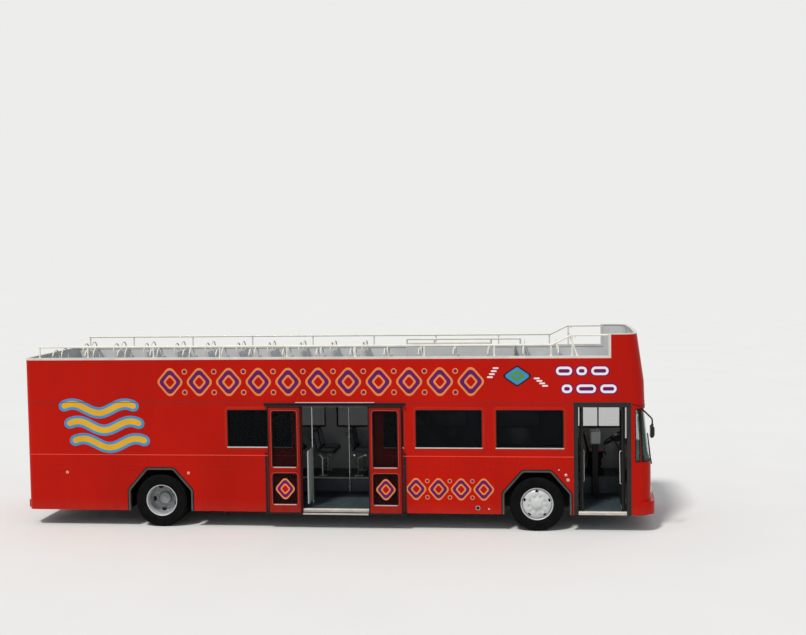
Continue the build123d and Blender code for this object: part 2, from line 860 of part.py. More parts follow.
def wipers():
    solids = []
    for side in (-1, 1):
        foot = (nose_low_x + 25, side * 900, windscreen_base_z - 30)
        high = (nose_x(1800) + 15, side * 1020, 1800)
        arm = tube(foot, high, 8)
        arm += tube((nose_low_x - 60, side * 900, windscreen_base_z - 30), foot, 14)
        arm += Pos(*foot) * Sphere(14)
        arm -= front_block(skirt_z, windscreen_base_z, entry_frame_x1, 0, nose_low_x)
        solids.append(arm)
    return solids


def chassis_rails():
    """Two long rails under the lower floor with cross members, and two higher rails over the rear axle."""
    foot = rail_top_z - rail_section
    front_x = nose_low_x - 300
    solid = None
    for side in (-1, 1):
        y0, y1 = sorted((side * rail_y, side * (rail_y + rail_section)))
        low = block(bulkhead_x, front_x, y0, y1, foot, rail_top_z)
        solid = low if solid is None else solid + low
    for x in range(6):
        place = bulkhead_x + 300 + x * (front_x - bulkhead_x - 700) / 5
        solid += block(place, place + 60, -rail_y, rail_y, foot + 10, rail_top_z)
    for x in jack_pad_x:
        for side in (-1, 1):
            y0, y1 = sorted((side * rail_y, side * (rail_y + rail_section)))
            solid += block(x - jack_pad_length / 2, x + jack_pad_length / 2, y0, y1, foot - jack_pad_thick, foot)
    tongue_x = nose_low_x - 90
    tongue_z = foot + 10
    solid += block(front_x - 60, front_x, -rail_y, rail_y, tongue_z, rail_top_z)
    solid += block(front_x - 10, tongue_x, -65, 65, tongue_z, tongue_z + tow_tongue_thick)
    solid -= tube((tongue_x - 65, 0, tongue_z - 5), (tongue_x - 65, 0, tongue_z + 50), tow_eye_radius)
    rear = None
    for side in (-1, 1):
        y0, y1 = sorted((side * rail_y, side * (rail_y + rail_section)))
        high = block(rear_face_x + wall, bulkhead_x - sheet, y0, y1, rear_rail_z, rear_rail_z + rail_section)
        rear = high if rear is None else rear + high
    for x in (rear_axle_x + 500, rear_axle_x - 700):
        rear += block(x, x + 60, -rail_y, rail_y, rear_rail_z + 10, rear_rail_z + rail_section - 10)
    return [solid, rear]


def front_axle():
    """A dropped beam between the kingpin bosses, with pads up to the chassis rails."""
    beam_z = tyre_radius
    low_z = rail_top_z - rail_section
    body = block(front_axle_x - 50, front_axle_x + 50, -700, 700, low_z - 90, low_z - 10)
    for side in (-1, 1):
        points = [(700, low_z - 90), (950, beam_z - 55), (950, beam_z + 40), (860, beam_z + 40), (660, low_z - 10)]
        outline = Polyline(*[(front_axle_x - 50, side * y, z) for y, z in points], close=True)
        body += extrude(make_face(outline), amount=100, dir=(1, 0, 0))
        middle = side * kingpin_y
        boss = tube((front_axle_x, middle, beam_z - boss_height / 2), (front_axle_x, middle, beam_z + boss_height / 2),
                    boss_radius)
        body += boss
        y0, y1 = sorted((side * 940, side * 975))
        body += block(front_axle_x - 30, front_axle_x + 30, y0, y1, beam_z - 45, beam_z + 35)
        y0, y1 = sorted((side * rail_y, side * (rail_y + rail_section)))
        body += block(front_axle_x - 50, front_axle_x + 50, y0, y1, low_z - 20, low_z)
    for side in (-1, 1):
        middle = side * kingpin_y
        body -= tube((front_axle_x, middle, beam_z - 200), (front_axle_x, middle, beam_z + 200), kingpin_radius + fit)
    return body


def knuckle(side):
    """Ears above and below the axle's boss, a kingpin through it, a spindle outwards and a steering arm."""
    z = tyre_radius
    ear = boss_height / 2
    y = side * kingpin_y
    body = tube((front_axle_x, y, z - ear - 40), (front_axle_x, y, z + ear + 40), kingpin_radius)
    body += tube((front_axle_x, y, z + ear + fit), (front_axle_x, y, z + ear + 35), boss_radius)
    body += tube((front_axle_x, y, z - ear - 35), (front_axle_x, y, z - ear - fit), boss_radius)
    y0, y1 = sorted((side * (kingpin_y + boss_radius + 8), side * (kingpin_y + boss_radius + 33)))
    body += block(front_axle_x - 45, front_axle_x + 45, y0, y1, z - ear - 35, z + ear + 35)
    y2, y3 = sorted((y, side * (kingpin_y + boss_radius + 10)))
    body += block(front_axle_x - 40, front_axle_x + 40, y2, y3, z + ear + 5, z + ear + 35)
    body += block(front_axle_x - 40, front_axle_x + 40, y2, y3, z - ear - 35, z - ear - 5)
    body += tube((front_axle_x, side * (kingpin_y + boss_radius + 10), z), (front_axle_x, side * 1210, z), spindle_radius)
    return body


def wheel_profile(points):
    """A body of revolution about the y axis at the origin, from (y, radius) points."""
    face = make_face(Polyline(*[(0, y, radius) for y, radius in points], close=True))
    return revolve(face, Axis.Y)


def facet_face(y, apothem):
    """A many-sided face across the wheel's axis, with one side flat on the ground."""
    radius = apothem / math.cos(math.pi / tyre_facets)
    points = []
    for step in range(tyre_facets):
        angle = math.pi * (2 * step + 1) / tyre_facets
        points.append((radius * math.sin(angle), y, -radius * math.cos(angle)))
    return make_face(Polyline(*points, close=True))


def tyre_shape():
    """A tyre of flat facets at the origin: sidewalls, shoulders and tread, open at the rim's flanges."""
    half_tread = tyre_width / 2
    bead_y = rim_width / 2 + rim_lip + 2
    profile = [
        # y, distance of the facets from the axis
        (bead_y, rim_flange_radius + 30),
        (half_tread, tyre_radius - 100),
        (half_tread - 8, tyre_radius - 30),
        (half_tread - 40, tyre_radius),
    ]
    rings = [(-y, reach) for y, reach in profile] + list(reversed(profile))
    solid = None
    for (y0, reach0), (y1, reach1) in zip(rings, rings[1:]):
        part = loft([facet_face(y0, reach0), facet_face(y1, reach1)], ruled=True)
        solid = part if solid is None else solid + part
    bore = extrude(facet_face(-half_tread, rim_flange_radius + fit), amount=tyre_width, dir=(0, 1, 0))
    return solid - bore


def rim_shape(disc_y):
    """A rim whose disc bolts up at disc_y from the rim's middle; the disc's outer face looks to -y."""
    edge = rim_width / 2
    side = 1 if disc_y > 0 else -1
    ring = [
        (-edge - rim_lip, rim_flange_radius),
        (-edge, rim_flange_radius),
        (-edge, rim_seat_radius),
        (edge, rim_seat_radius),
        (edge, rim_flange_radius),
        (edge + rim_lip, rim_flange_radius),
        (edge + rim_lip, rim_seat_radius - 12),
        (edge - 30, rim_seat_radius - 16),
        (-edge + 30, rim_seat_radius - 16),
        (-edge - rim_lip, rim_seat_radius - 12),
    ]
    body = wheel_profile(ring)
    start = side * (edge - 45)
    disc = [
        (start - side * 14, rim_seat_radius - 14),
        (start, rim_seat_radius - 14),
        (disc_y, 200),
        (disc_y, 95),
        (disc_y - side * 14, 95),
        (disc_y - side * 14, 194),
    ]
    body += wheel_profile(disc)
    for hole in range(hand_holes):
        angle = math.radians(hole * 360 / hand_holes + 18)
        x = 236 * math.cos(angle)
        z = 236 * math.sin(angle)
        body -= tube((x, disc_y - 150, z), (x, disc_y + 150, z), 24)
    return body


def front_wheel():
    """Front wheel at the origin, outer side to -y: the disc stands out and carries a bored hub."""
    body = rim_shape(-125)
    bore = wheel_centre_y - 1210 - fit
    hub_face = wheel_centre_y - kingpin_y - boss_radius - 33 - running_gap
    hub = [
        (hub_face, spindle_radius + fit),
        (hub_face, 80),
        (-60, 95),
        (-125, 100),
        (-139, 100),
        (-145, 70),
        (-158, 60),
        (-158, 0),
        (bore, 0),
        (bore, spindle_radius + fit),
    ]
    return body + wheel_profile(hub)


def rear_wheels():
    """Twin rear wheels at the origin, middle between the two tyres, outer side to -y."""
    offset = twin_spacing / 2
    outer = Pos(0, -offset, 0) * rim_shape(offset)
    inner = Pos(0, offset, 0) * rim_shape(-offset)
    hub = [
        (120, 60 + fit),
        (120, 105),
        (-120, 105),
        (-140, 90),
        (-215, 78),
        (-235, 60),
        (-235, 0),
        (-100, 0),
        (-100, 60 + fit),
    ]
    return outer + inner + wheel_profile(hub)


twin_middle_y = wheel_centre_y - twin_spacing / 2


def rear_axle():
    """Axle tubes, the final drive and the air springs up to the rails."""
    z = tyre_radius
    body = tube((rear_axle_x, -twin_middle_y - 100 + fit, z), (rear_axle_x, twin_middle_y + 100 - fit, z), 60)
    body += tube((rear_axle_x, -twin_middle_y + 125, z), (rear_axle_x, twin_middle_y - 125, z), 85)
    body += Pos(rear_axle_x, 0, z) * Sphere(190)
    body += tube((rear_axle_x - 280, 0, z), (rear_axle_x, 0, z), 90)
    for side in (-1, 1):
        y = side * (rail_y + rail_section / 2)
        body += block(rear_axle_x - 320, rear_axle_x + 320, y - 45, y + 45, z + 60, z + 110)
        for x in (rear_axle_x - 240, rear_axle_x + 240):
            body += tube((x, y, z + 100), (x, y, rear_rail_z), 80)
    return body


def engine():
    x0 = rear_face_x + wall + engine_rear_gap
    x1 = rear_axle_x - engine_axle_gap
    body = block(x0, x1, -engine_width / 2, engine_width / 2, engine_foot_z, engine_top_z)
    for x in (x0 + 150, x1 - 250):
        body += block(x, x + 100, -rail_y - rail_section + 10, rail_y + rail_section - 10,
                      rear_rail_z + rail_section, rear_rail_z + rail_section + 60)
    return body


def gather(shape):
    """One compound of separate solids, from a shape or a list of shapes."""
    shapes = shape if isinstance(shape, (list, tuple)) else [shape]
    solids = [solid for item in shapes for solid in item.solids()]
    return solids[0] if len(solids) == 1 else Compound(children=solids)


def main():
    os.makedirs("parts", exist_ok=True)
    leaf_rear, pane_rear = entry_leaf(True)
    leaf_front, pane_front = entry_leaf(False)
    centre_rear, centre_rear_panes = centre_leaf(True)
    centre_front, centre_front_panes = centre_leaf(False)
    front_place = Pos(front_axle_x, -wheel_centre_y, tyre_radius)
    rear_place = Pos(rear_axle_x, -twin_middle_y, tyre_radius)
    front_right = front_place * front_wheel()
    front_tyre = front_place * tyre_shape()
    rear_right = rear_place * rear_wheels()
    rear_tyres = [
        rear_place * Pos(0, -twin_spacing / 2, 0) * tyre_shape(),
        rear_place * Pos(0, twin_spacing / 2, 0) * tyre_shape(),
    ]
    nodes = {
        "lower_wall_right_rear": lower_wall_right(rear_wrap_x, centre_x0, skirt_z, rear_axle_x),
        "centre_door_header": lower_wall_right(centre_x0, centre_x1, door_top_z),
        "lower_wall_right_middle": lower_wall_right(centre_x1, entry_frame_x0, skirt_z, front_axle_x),
        "lower_wall_left": lower_wall_left(),
        "rear_wall": rear_wall(),
        "engine_door": engine_door(),
        "front_panel": front_panel(),
        "windscreen_surround": windscreen_surround(),
        "windscreen": windscreen(),
        "front_cowl": front_cowl(),
        "upper_side_panels": upper_side_panels(),
        "upper_rear_panel": upper_rear_panel(),
        "deck_lining": deck_lining(),
        "parapet_cap": parapet_cap(),
        "upper_floor": upper_floor(),
        "lower_floor": lower_floor(),
        "rear_bulkhead": rear_bulkhead(),
        "wheel_housings": wheel_housings(),
        "side_windows": side_windows(),
        "stairs": stairs(),
        "stair_guard": stair_guard(),
        "side_rails": side_rails(),
        "rail_posts": rail_posts(),
        "upper_seats": upper_seats(),
        "seat_handles": seat_handles(),
        "lower_seats": lower_seats(),
        "grab_poles": grab_poles(),
        "driver_seat": driver_seat(),
        "dashboard": dashboard(),
        "steering_wheel": steering_wheel(),
        "fare_box": fare_box(),
        "entry_door_frame": entry_door_frame(),
        "entry_leaf_rear": leaf_rear,
        "entry_leaf_rear_glass": pane_rear,
        "entry_leaf_front": leaf_front,
        "entry_leaf_front_glass": pane_front,
        "centre_door_rails": centre_door_rails(),
        "centre_leaf_rear": centre_rear,
        "centre_leaf_rear_glass": centre_rear_panes,
        "centre_leaf_front": centre_front,
        "centre_leaf_front_glass": centre_front_panes,
        "bumpers": bumpers(),
        "mirrors": mirrors(),
        "lamps": lamps(),
        "wipers": wipers(),
        "chassis_rails": chassis_rails(),
        "front_axle": front_axle(),
        "rear_axle": rear_axle(),
        "engine": engine(),
        "knuckle_right": knuckle(-1),
        "knuckle_left": knuckle(1),
        "front_wheel_right": front_right,
        "front_wheel_left": mirrored(front_right),
        "front_tyre_right": front_tyre,
        "front_tyre_left": mirrored(front_tyre),
        "rear_wheels_right": rear_right,
        "rear_wheels_left": mirrored(rear_right),
        "rear_tyres_right": rear_tyres,
        "rear_tyres_left": [mirrored(tyre) for tyre in rear_tyres],
    }
    for name, shape in nodes.items():
        export_step(gather(shape), f"parts/{name}.step")


main()
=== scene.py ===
import math

import bmesh
import bpy
from mathutils import Matrix, Vector
from mathutils.bvhtree import BVHTree


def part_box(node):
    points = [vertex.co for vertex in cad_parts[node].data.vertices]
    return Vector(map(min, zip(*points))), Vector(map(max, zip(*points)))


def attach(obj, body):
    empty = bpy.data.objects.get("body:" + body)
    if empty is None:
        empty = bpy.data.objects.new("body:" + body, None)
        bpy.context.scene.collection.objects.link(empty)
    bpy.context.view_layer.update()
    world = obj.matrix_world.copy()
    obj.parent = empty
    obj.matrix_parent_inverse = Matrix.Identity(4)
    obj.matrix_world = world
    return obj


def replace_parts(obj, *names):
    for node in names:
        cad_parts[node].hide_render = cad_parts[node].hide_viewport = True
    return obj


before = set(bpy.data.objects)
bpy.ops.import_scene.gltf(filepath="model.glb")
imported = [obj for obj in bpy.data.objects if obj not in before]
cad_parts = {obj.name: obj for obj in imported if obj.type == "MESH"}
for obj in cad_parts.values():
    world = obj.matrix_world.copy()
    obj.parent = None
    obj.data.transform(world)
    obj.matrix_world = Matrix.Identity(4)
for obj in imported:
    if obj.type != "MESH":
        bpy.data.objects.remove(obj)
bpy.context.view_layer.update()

# Looks of an open top double decker bus, in metres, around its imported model.
# +X is forward, +Y is the driver's side, +Z is up. The entry doors are on the -Y side.


# Places read from the frame

def solids_of(node):
    """The corner points of each separate solid of a CAD node, sorted from rear to front."""
    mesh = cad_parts[node].data
    owner = list(range(len(mesh.vertices)))

    def root(index):
        while owner[index] != index:
            owner[index] = owner[owner[index]]
            index = owner[index]
        return index

    seen = {}
    for vertex in mesh.vertices:
        key = tuple(round(value, 5) for value in vertex.co)
        owner[root(vertex.index)] = root(seen.setdefault(key, vertex.index))
    for face in mesh.polygons:
        for index in face.vertices[1:]:
            owner[root(index)] = root(face.vertices[0])
    groups = {}
    for vertex in mesh.vertices:
        groups.setdefault(root(vertex.index), []).append(vertex.co.copy())
    return sorted(groups.values(), key=lambda points: sum(p.x for p in points) / len(points))


def boxes_of(node):
    """The lowest and highest corner of each separate solid of a CAD node, from rear to front."""
    found = []
    for points in solids_of(node):
        low = Vector([min(p[axis] for p in points) for axis in range(3)])
        high = Vector([max(p[axis] for p in points) for axis in range(3)])
        found.append((low, high))
    return sorted(found, key=lambda pair: pair[0].x)


def middle_of(node):
    low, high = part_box(node)
    return (low + high) / 2


front_x = middle_of("front_tyre_right").x
rear_x = middle_of("rear_tyres_right").x
front_wheel_y = -middle_of("front_tyre_right").y
rear_wheel_y = -middle_of("rear_tyres_right").y
tyre_radius = middle_of("front_tyre_right").z
wall_y = -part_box("lower_wall_right_middle")[0].y
inner_y = -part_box("lower_wall_right_middle")[1].y
skirt_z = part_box("lower_wall_right_middle")[0].z
rear_wrap_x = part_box("lower_wall_right_rear")[0].x
rear_face_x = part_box("upper_rear_panel")[0].x
deck_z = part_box("upper_floor")[1].z
ceiling_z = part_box("upper_floor")[0].z
coaming_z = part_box("upper_rear_panel")[1].z
cap_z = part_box("rail_posts")[0].z
centre_x0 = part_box("centre_door_header")[0].x
centre_x1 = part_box("centre_door_header")[1].x
centre_top_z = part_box("centre_door_header")[0].z
entry_frame_x0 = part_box("entry_door_frame")[0].x
entry_frame_x1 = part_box("entry_door_frame")[1].x
entry_x0 = front_x + 0.746
entry_x1 = front_x + 1.620
entry_top_z = 2.290
bulkhead_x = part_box("rear_bulkhead")[1].x
windscreen_base_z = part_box("front_panel")[1].z
floor_z = 0.380
sill_top = 0.368
belt_z = 1.377
crease_z = 1.193
seam_z = 2.376
joint_top_z = 2.370
drip_z = 2.375
arch_half = 0.600
arch_flat = 0.250
arch_shoulder_z = 0.700
arch_top_z = 1.100
sides = {-1: "right", 1: "left"}


# Shapes in mesh code

def turns(count, shift=0.0):
    """Evenly spaced angles round a full circle; shift is a share of one gap."""
    return [2 * math.pi * (step + shift) / count for step in range(count)]


class Shape:
    """Collects corners and faces. Each face takes the look that is set when it is added."""

    def __init__(self):
        self.corners = []
        self.faces = []
        self.looks = []
        self.look = 0

    def add(self, corners, faces):
        start = len(self.corners)
        self.corners.extend(tuple(corner) for corner in corners)
        for face in faces:
            self.faces.append(tuple(start + index for index in face))
            self.looks.append(self.look)

    def grid(self, rows, wrap_rows=False, wrap_across=True, caps=False):
        """Faces between rows of corners, each row as long as the next."""
        count = len(rows[0])
        faces = []
        for row in range(len(rows) if wrap_rows else len(rows) - 1):
            here = row * count
            there = (row + 1) % len(rows) * count
            for column in range(count if wrap_across else count - 1):
                beside = (column + 1) % count
                faces.append((here + column, here + beside, there + beside, there + column))
        if caps:
            faces.append(tuple(range(count)))
            faces.append(tuple((len(rows) - 1) * count + column for column in range(count)))
        self.add([corner for row in rows for corner in row], faces)

    def box(self, x0, x1, y0, y1, z0, z1, edge=0.003):
        """A box with all its edges chamfered."""
        def ring(inset, z):
            a, b, c, d = x0 + inset, x1 - inset, y0 + inset, y1 - inset
            return [(a + edge, c, z), (b - edge, c, z), (b, c + edge, z), (b, d - edge, z),
                    (b - edge, d, z), (a + edge, d, z), (a, d - edge, z), (a, c + edge, z)]
        self.grid([ring(edge, z0), ring(0, z0 + edge), ring(0, z1 - edge), ring(edge, z1)], caps=True)

    def boxes(self, look, edge, *spans):
        """Boxes of one look, each given as (x0, x1, y0, y1, z0, z1)."""
        self.look = look
        for span in spans:
            self.box(*span, edge)

    def rod(self, path, radius, sides=10, closed=False):
        """A round bar along points. The radius is one number or one for each point."""
        path = [Vector(point) for point in path]
        count = len(path)
        sizes = radius if isinstance(radius, list) else [radius] * count
        rows = []
        side = None
        for index, (point, size) in enumerate(zip(path, sizes)):
            before = path[index - 1] if index or closed else point
            after = path[(index + 1) % count] if index + 1 < count or closed else point
            along = (after - before).normalized()
            side = along.orthogonal() if side is None else side - along * side.dot(along)
            side = side.normalized()
            up = along.cross(side)
            rows.append([point + (side * math.cos(turn) + up * math.sin(turn)) * size
                         for turn in turns(sides)])
        self.grid(rows, wrap_rows=closed, caps=not closed)

    def lathe(self, centre, profile, out, sides=64, closed=False, wave=None):
        """A turned form about the y axis. Profile points are (outwards along y, radius)."""
        rows = []
        for turn in turns(sides):
            row = []
            for along, radius in profile:
                if wave is not None:
                    along += wave(radius, turn)
                row.append((centre[0] + radius * math.sin(turn), centre[1] + out * along,
                            centre[2] + radius * math.cos(turn)))
            rows.append(row)
        self.grid(rows, wrap_rows=True, wrap_across=closed)

    def moulding(self, path, profile, wall, side, closed=False):
        """A strip along (x, z) points on a side wall, clockwise. Profile points are (away, proud)."""
        count = len(path)
        rows = []
        for index, (x, z) in enumerate(path):
            before = path[index - 1] if index or closed else path[index]
            after = path[(index + 1) % count] if index + 1 < count or closed else path[index]
            along = Vector((after[0] - before[0], after[1] - before[1])).normalized()
            rows.append([(x - along.y * away, side * (wall + proud), z + along.x * away)
                         for away, proud in profile])
        self.grid(rows, wrap_rows=closed, wrap_across=True, caps=not closed)

    def slab(self, outline, wall, side, proud):
        """A flat plate with an outline of (x, z) points, on a side wall."""
        front = [(x, side * (wall + proud), z) for x, z in outline]
        rear = [(x, side * wall, z) for x, z in outline]
        self.grid([rear, front], caps=True)

    def piece(self, name, body, looks, angle=35):
        """Makes the object, smooth where its faces meet at less than the angle."""
        mesh = bpy.data.meshes.new(name)
        mesh.from_pydata(self.corners, [], self.faces)
        mesh.polygons.foreach_set("material_index", self.looks)
        work = bmesh.new()
        work.from_mesh(mesh)
        bmesh.ops.remove_doubles(work, verts=work.verts, dist=1e-6)
        bmesh.ops.recalc_face_normals(work, faces=work.faces)
        work.to_mesh(mesh)
        work.free()
        for look in looks if isinstance(looks, list) else [looks]:
            mesh.materials.append(look)
        mesh.polygons.foreach_set("use_smooth", [True] * len(mesh.polygons))
        mesh.set_sharp_from_angle(angle=math.radians(angle))
        made = linked(name, mesh)
        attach(made, body)
        return made


def linked(name, mesh):
    """An object with this mesh, linked to the scene."""
    made = bpy.data.objects.new(name, mesh)
    bpy.context.scene.collection.objects.link(made)
    return made


def rounded(points, radius, closed=True, steps=5):
    """An outline of points in a plane with its corners turned into arcs."""
    points = [Vector(point) for point in points]
    count = len(points)
    made = []
    for index, point in enumerate(points):
        if not closed and index in (0, count - 1):
            made.append(tuple(point))
            continue
        back = (points[index - 1] - point).normalized()
        ahead = (points[(index + 1) % count] - point).normalized()
        half = back.angle(ahead) / 2
        centre = point + (back + ahead).normalized() * radius / math.sin(half)
        first = point + back * radius / math.tan(half) - centre
        last = point + ahead * radius / math.tan(half) - centre
        for step in range(steps + 1):
            made.append(tuple(centre + first.slerp(last, step / steps).normalized() * radius))
    return made


def rounded_box(across0, across1, z0, z1, radius, steps=5):
    """A rounded rectangle in (x, z) on a side wall, or in (y, z) at one x."""
    corners = [(across0, z0), (across0, z1), (across1, z1), (across1, z0)]
    return rounded(corners, radius, steps=steps)


def arc_points(centre, radius_y, radius_z, start, end, steps):
    """Points of an arc across the bus, at one x; angles in degrees from +Y."""
    found = []
    for step in range(steps + 1):
        turn = math.radians(start + (end - start) * step / steps)
        found.append((centre[0], centre[1] + radius_y * math.cos(turn),
                      centre[2] + radius_z * math.sin(turn)))
    return found


def surface(*nodes):
    """A tree of faces of CAD nodes that rays are cast at."""
    corners = []
    faces = []
    for node in nodes:
        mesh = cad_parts[node].data
        start = len(corners)
        corners += [vertex.co.copy() for vertex in mesh.vertices]
        faces += [[start + index for index in face.vertices] for face in mesh.polygons]
    return BVHTree.FromPolygons(corners, faces)


# Finishes, each with its own nodes

dust_colour = (0.19, 0.155, 0.12)
dust_full_z = 0.25


def finish(name, colour, rough=0.5, metal=0.0, coat=0.0, alpha=1.0, specular=0.5, sheen=0.0,
           mottle=0.08, mottle_scale=2.5, stretch=(1, 1, 1), dust=0.0, dust_top=1.0, ripple=0.0,
           grain="noise", grain_scale=300.0, grain_depth=0.0002):
    """A surface whose colour, roughness and bump come from nodes in object space.

    The colour is mottled and takes dust from dust_top downwards. The bump is a slow ripple of the
    sheet with a fine grain over it: noise, weave, studs, or ribs across X, Y or Z.
    """
    material = bpy.data.materials.new(name)
    material.use_nodes = True
    nodes = material.node_tree.nodes
    links = material.node_tree.links
    shader = nodes["Principled BSDF"]
    shader.inputs["Metallic"].default_value = metal
    shader.inputs["Specular IOR Level"].default_value = specular
    shader.inputs["Coat Weight"].default_value = coat
    shader.inputs["Coat Roughness"].default_value = 0.08
    shader.inputs["Alpha"].default_value = alpha
    shader.inputs["Sheen Weight"].default_value = sheen
    place = nodes.new("ShaderNodeTexCoord").outputs["Object"]
    mapping = nodes.new("ShaderNodeMapping")
    mapping.inputs["Scale"].default_value = stretch
    links.new(place, mapping.inputs["Vector"])
    scaled = mapping.outputs[0]

    def texture(kind, scale, vector):
        node = nodes.new("ShaderNodeTex" + kind)
        node.inputs["Scale"].default_value = scale
        links.new(vector, node.inputs["Vector"])
        return node

    def noise(scale, detail, vector=scaled):
        node = texture("Noise", scale, vector)
        node.inputs["Detail"].default_value = detail
        return node.outputs["Fac"]

    def wave(direction):
        node = texture("Wave", grain_scale, scaled)
        node.bands_direction = direction
        return node.outputs["Fac"]

    def studs():
        node = texture("Voronoi", grain_scale, scaled)
        node.inputs["Randomness"].default_value = 0
        return spread(node.outputs["Distance"], 0.25, 0.4, 1, 0)

    def spread(value, low, high, to_low, to_high):
        node = nodes.new("ShaderNodeMapRange")
        node.inputs["From Min"].default_value = low
        node.inputs["From Max"].default_value = high
        node.inputs["To Min"].default_value = to_low
        node.inputs["To Max"].default_value = to_high
        links.new(value, node.inputs["Value"])
        return node.outputs["Result"]

    def product(first, second):
        node = nodes.new("ShaderNodeMath")
        node.operation = "MULTIPLY"
        links.new(first, node.inputs[0])
        links.new(second, node.inputs[1])
        return node.outputs[0]

    def blend(factor, first, second):
        node = nodes.new("ShaderNodeMix")
        node.data_type = "RGBA"
        links.new(factor, node.inputs[0])
        for socket, value in ((node.inputs[6], first), (node.inputs[7], second)):
            if isinstance(value, tuple):
                socket.default_value = (*value, 1)
            else:
                links.new(value, socket)
        return node.outputs[2]

    def grain_height():
        if grain == "weave":
            return product(wave("X"), wave("Y"))
        if grain == "studs":
            return studs()
        return noise(grain_scale, 3) if grain == "noise" else wave(grain)

    darker = tuple(value * (1 - mottle) for value in colour)
    lighter = tuple(min(1.0, value * (1 + mottle)) for value in colour)
    tint = blend(spread(noise(mottle_scale, 5), 0.32, 0.68, 0, 1), darker, lighter)
    if dust:
        parts = nodes.new("ShaderNodeSeparateXYZ")
        links.new(place, parts.inputs[0])
        fall = spread(parts.outputs["Z"], dust_top, dust_full_z, 0, dust)
        patches = spread(noise(7.0, 6, place), 0.3, 0.7, 0.35, 1.0)
        tint = blend(product(fall, patches), tint, dust_colour)
    links.new(tint, shader.inputs["Base Color"])
    links.new(spread(noise(mottle_scale * 3.1, 4), 0.3, 0.7, max(0.02, rough - 0.07), min(1.0, rough + 0.07)),
              shader.inputs["Roughness"])

    normal = None
    for depth, height in ((ripple, lambda: noise(1.1, 0)), (grain_depth, grain_height)):
        if not depth:
            continue
        bump = nodes.new("ShaderNodeBump")
        bump.inputs["Distance"].default_value = depth
        links.new(height(), bump.inputs["Height"])
        if normal:
            links.new(normal, bump.inputs["Normal"])
        normal = bump.outputs["Normal"]
    if normal:
        links.new(normal, shader.inputs["Normal"])
    return material


def ink(name, colour, mottle=0.09):
    """A printed film on the paint."""
    return finish("print_" + name, colour, rough=0.4, specular=0.12, coat=0.05, mottle=mottle)


red = finish("red_paint", (0.415, 0.0055, 0.0008), rough=0.26, coat=0.06, specular=0.06, mottle=0.12,
             mottle_scale=0.7, stretch=(1, 1, 0.35), dust=0.12, dust_top=0.55, ripple=0.004,
             grain_depth=0.0)
leaf_red = finish("leaf_red", (0.27, 0.006, 0.002), rough=0.32, coat=0.06, specular=0.08, mottle=0.14,
                  mottle_scale=1.5, dust=0.12, dust_top=0.6, grain_depth=0.0)
# Beads and rings in a lighter red than the paint: a painted highlight along their rounded tops.
red_bead_painted_highlight = finish("red_bead_painted_highlight", (0.66, 0.045, 0.022), rough=0.3, coat=0.1, specular=0.2, mottle=0.05,
                  grain_depth=0.0)
red_trim = finish("red_trim", (0.40, 0.013, 0.004), rough=0.35, coat=0.06, specular=0.10, mottle=0.06,
                  grain_depth=0.0)
joint_line = finish("joint_line", (0.11, 0.006, 0.004), rough=0.6, mottle=0.1)
grey_lining = finish("grey_lining", (0.61, 0.62, 0.625), rough=0.5, mottle=0.05, grain_scale=120,
                     grain_depth=0.0004)
grey_cap = finish("grey_cap", (0.60, 0.565, 0.53), rough=0.45, mottle=0.1, mottle_scale=5)
cream = finish("cream_paint", (0.74, 0.72, 0.65), rough=0.45, coat=0.1, mottle=0.08, mottle_scale=6)
steel = finish("brushed_steel", (0.66, 0.66, 0.65), rough=0.28, metal=0.7, mottle=0.05, grain_depth=0.0)
frame_grey = finish("door_frame_grey", (0.022, 0.020, 0.020), rough=0.4, specular=0.15, mottle=0.15,
                    mottle_scale=6, grain_scale=260, grain_depth=0.0002)
aluminium = finish("aluminium", (0.62, 0.62, 0.60), rough=0.38, metal=0.55, mottle=0.08, mottle_scale=12,
                   grain_scale=260)
nosing = finish("step_nosing", (0.78, 0.73, 0.64), rough=0.45, mottle=0.10, mottle_scale=9, grain="X",
                grain_scale=70, grain_depth=0.0012)
step_metal = finish("step_metal", (0.52, 0.49, 0.44), rough=0.5, metal=0.2, grain="X", grain_scale=90,
                    grain_depth=0.001, mottle=0.15, mottle_scale=14)
rubber = finish("black_rubber", (0.006, 0.006, 0.0065), rough=0.6, specular=0.18, mottle=0.25,
                mottle_scale=8, grain_scale=200)
black = finish("black_plastic", (0.0095, 0.0085, 0.0085), rough=0.42, specular=0.2, mottle=0.2,
               mottle_scale=6, grain_scale=260, grain_depth=0.0003)
arch_grey = finish("arch_grey", (0.046, 0.043, 0.040), rough=0.35, mottle=0.2, mottle_scale=7, dust=0.3,
                   dust_top=1.1)
tyre_black = finish("tyre_rubber", (0.0042, 0.0042, 0.0046), rough=0.75, specular=0.06, mottle=0.3,
                    mottle_scale=9, grain_scale=180, grain_depth=0.0006)
wheel_silver = finish("wheel_silver", (0.52, 0.54, 0.54), rough=0.4, metal=0.1, coat=0.15, mottle=0.10,
                      mottle_scale=11)
# A darker grey for the rear discs and hub: partly brake dust, partly painted shade of the deep dish.
wheel_grey_dust_and_shade = finish("wheel_grey_dust_and_shade", (0.27, 0.29, 0.30), rough=0.5, metal=0.1, mottle=0.18, mottle_scale=9)
chrome = finish("chrome", (0.75, 0.76, 0.77), rough=0.12, metal=1.0, mottle=0.03)
dark_metal = finish("dark_metal", (0.035, 0.034, 0.033), rough=0.6, metal=0.3, mottle=0.4, mottle_scale=5,
                    dust=0.6, dust_top=1.2, grain_scale=60, grain_depth=0.001)
floor_vinyl = finish("floor_vinyl", (0.043, 0.062, 0.074), rough=0.45, grain="studs", grain_scale=28,
                     grain_depth=0.0015, mottle=0.25, mottle_scale=3)
cabin_grey = finish("cabin_lining", (0.34, 0.35, 0.35), rough=0.55, mottle=0.06, grain_scale=150,
                    grain_depth=0.0004)
cabin_dark = finish("cabin_dark", (0.05, 0.054, 0.06), rough=0.6, mottle=0.15, grain_scale=150,
                    grain_depth=0.0005)
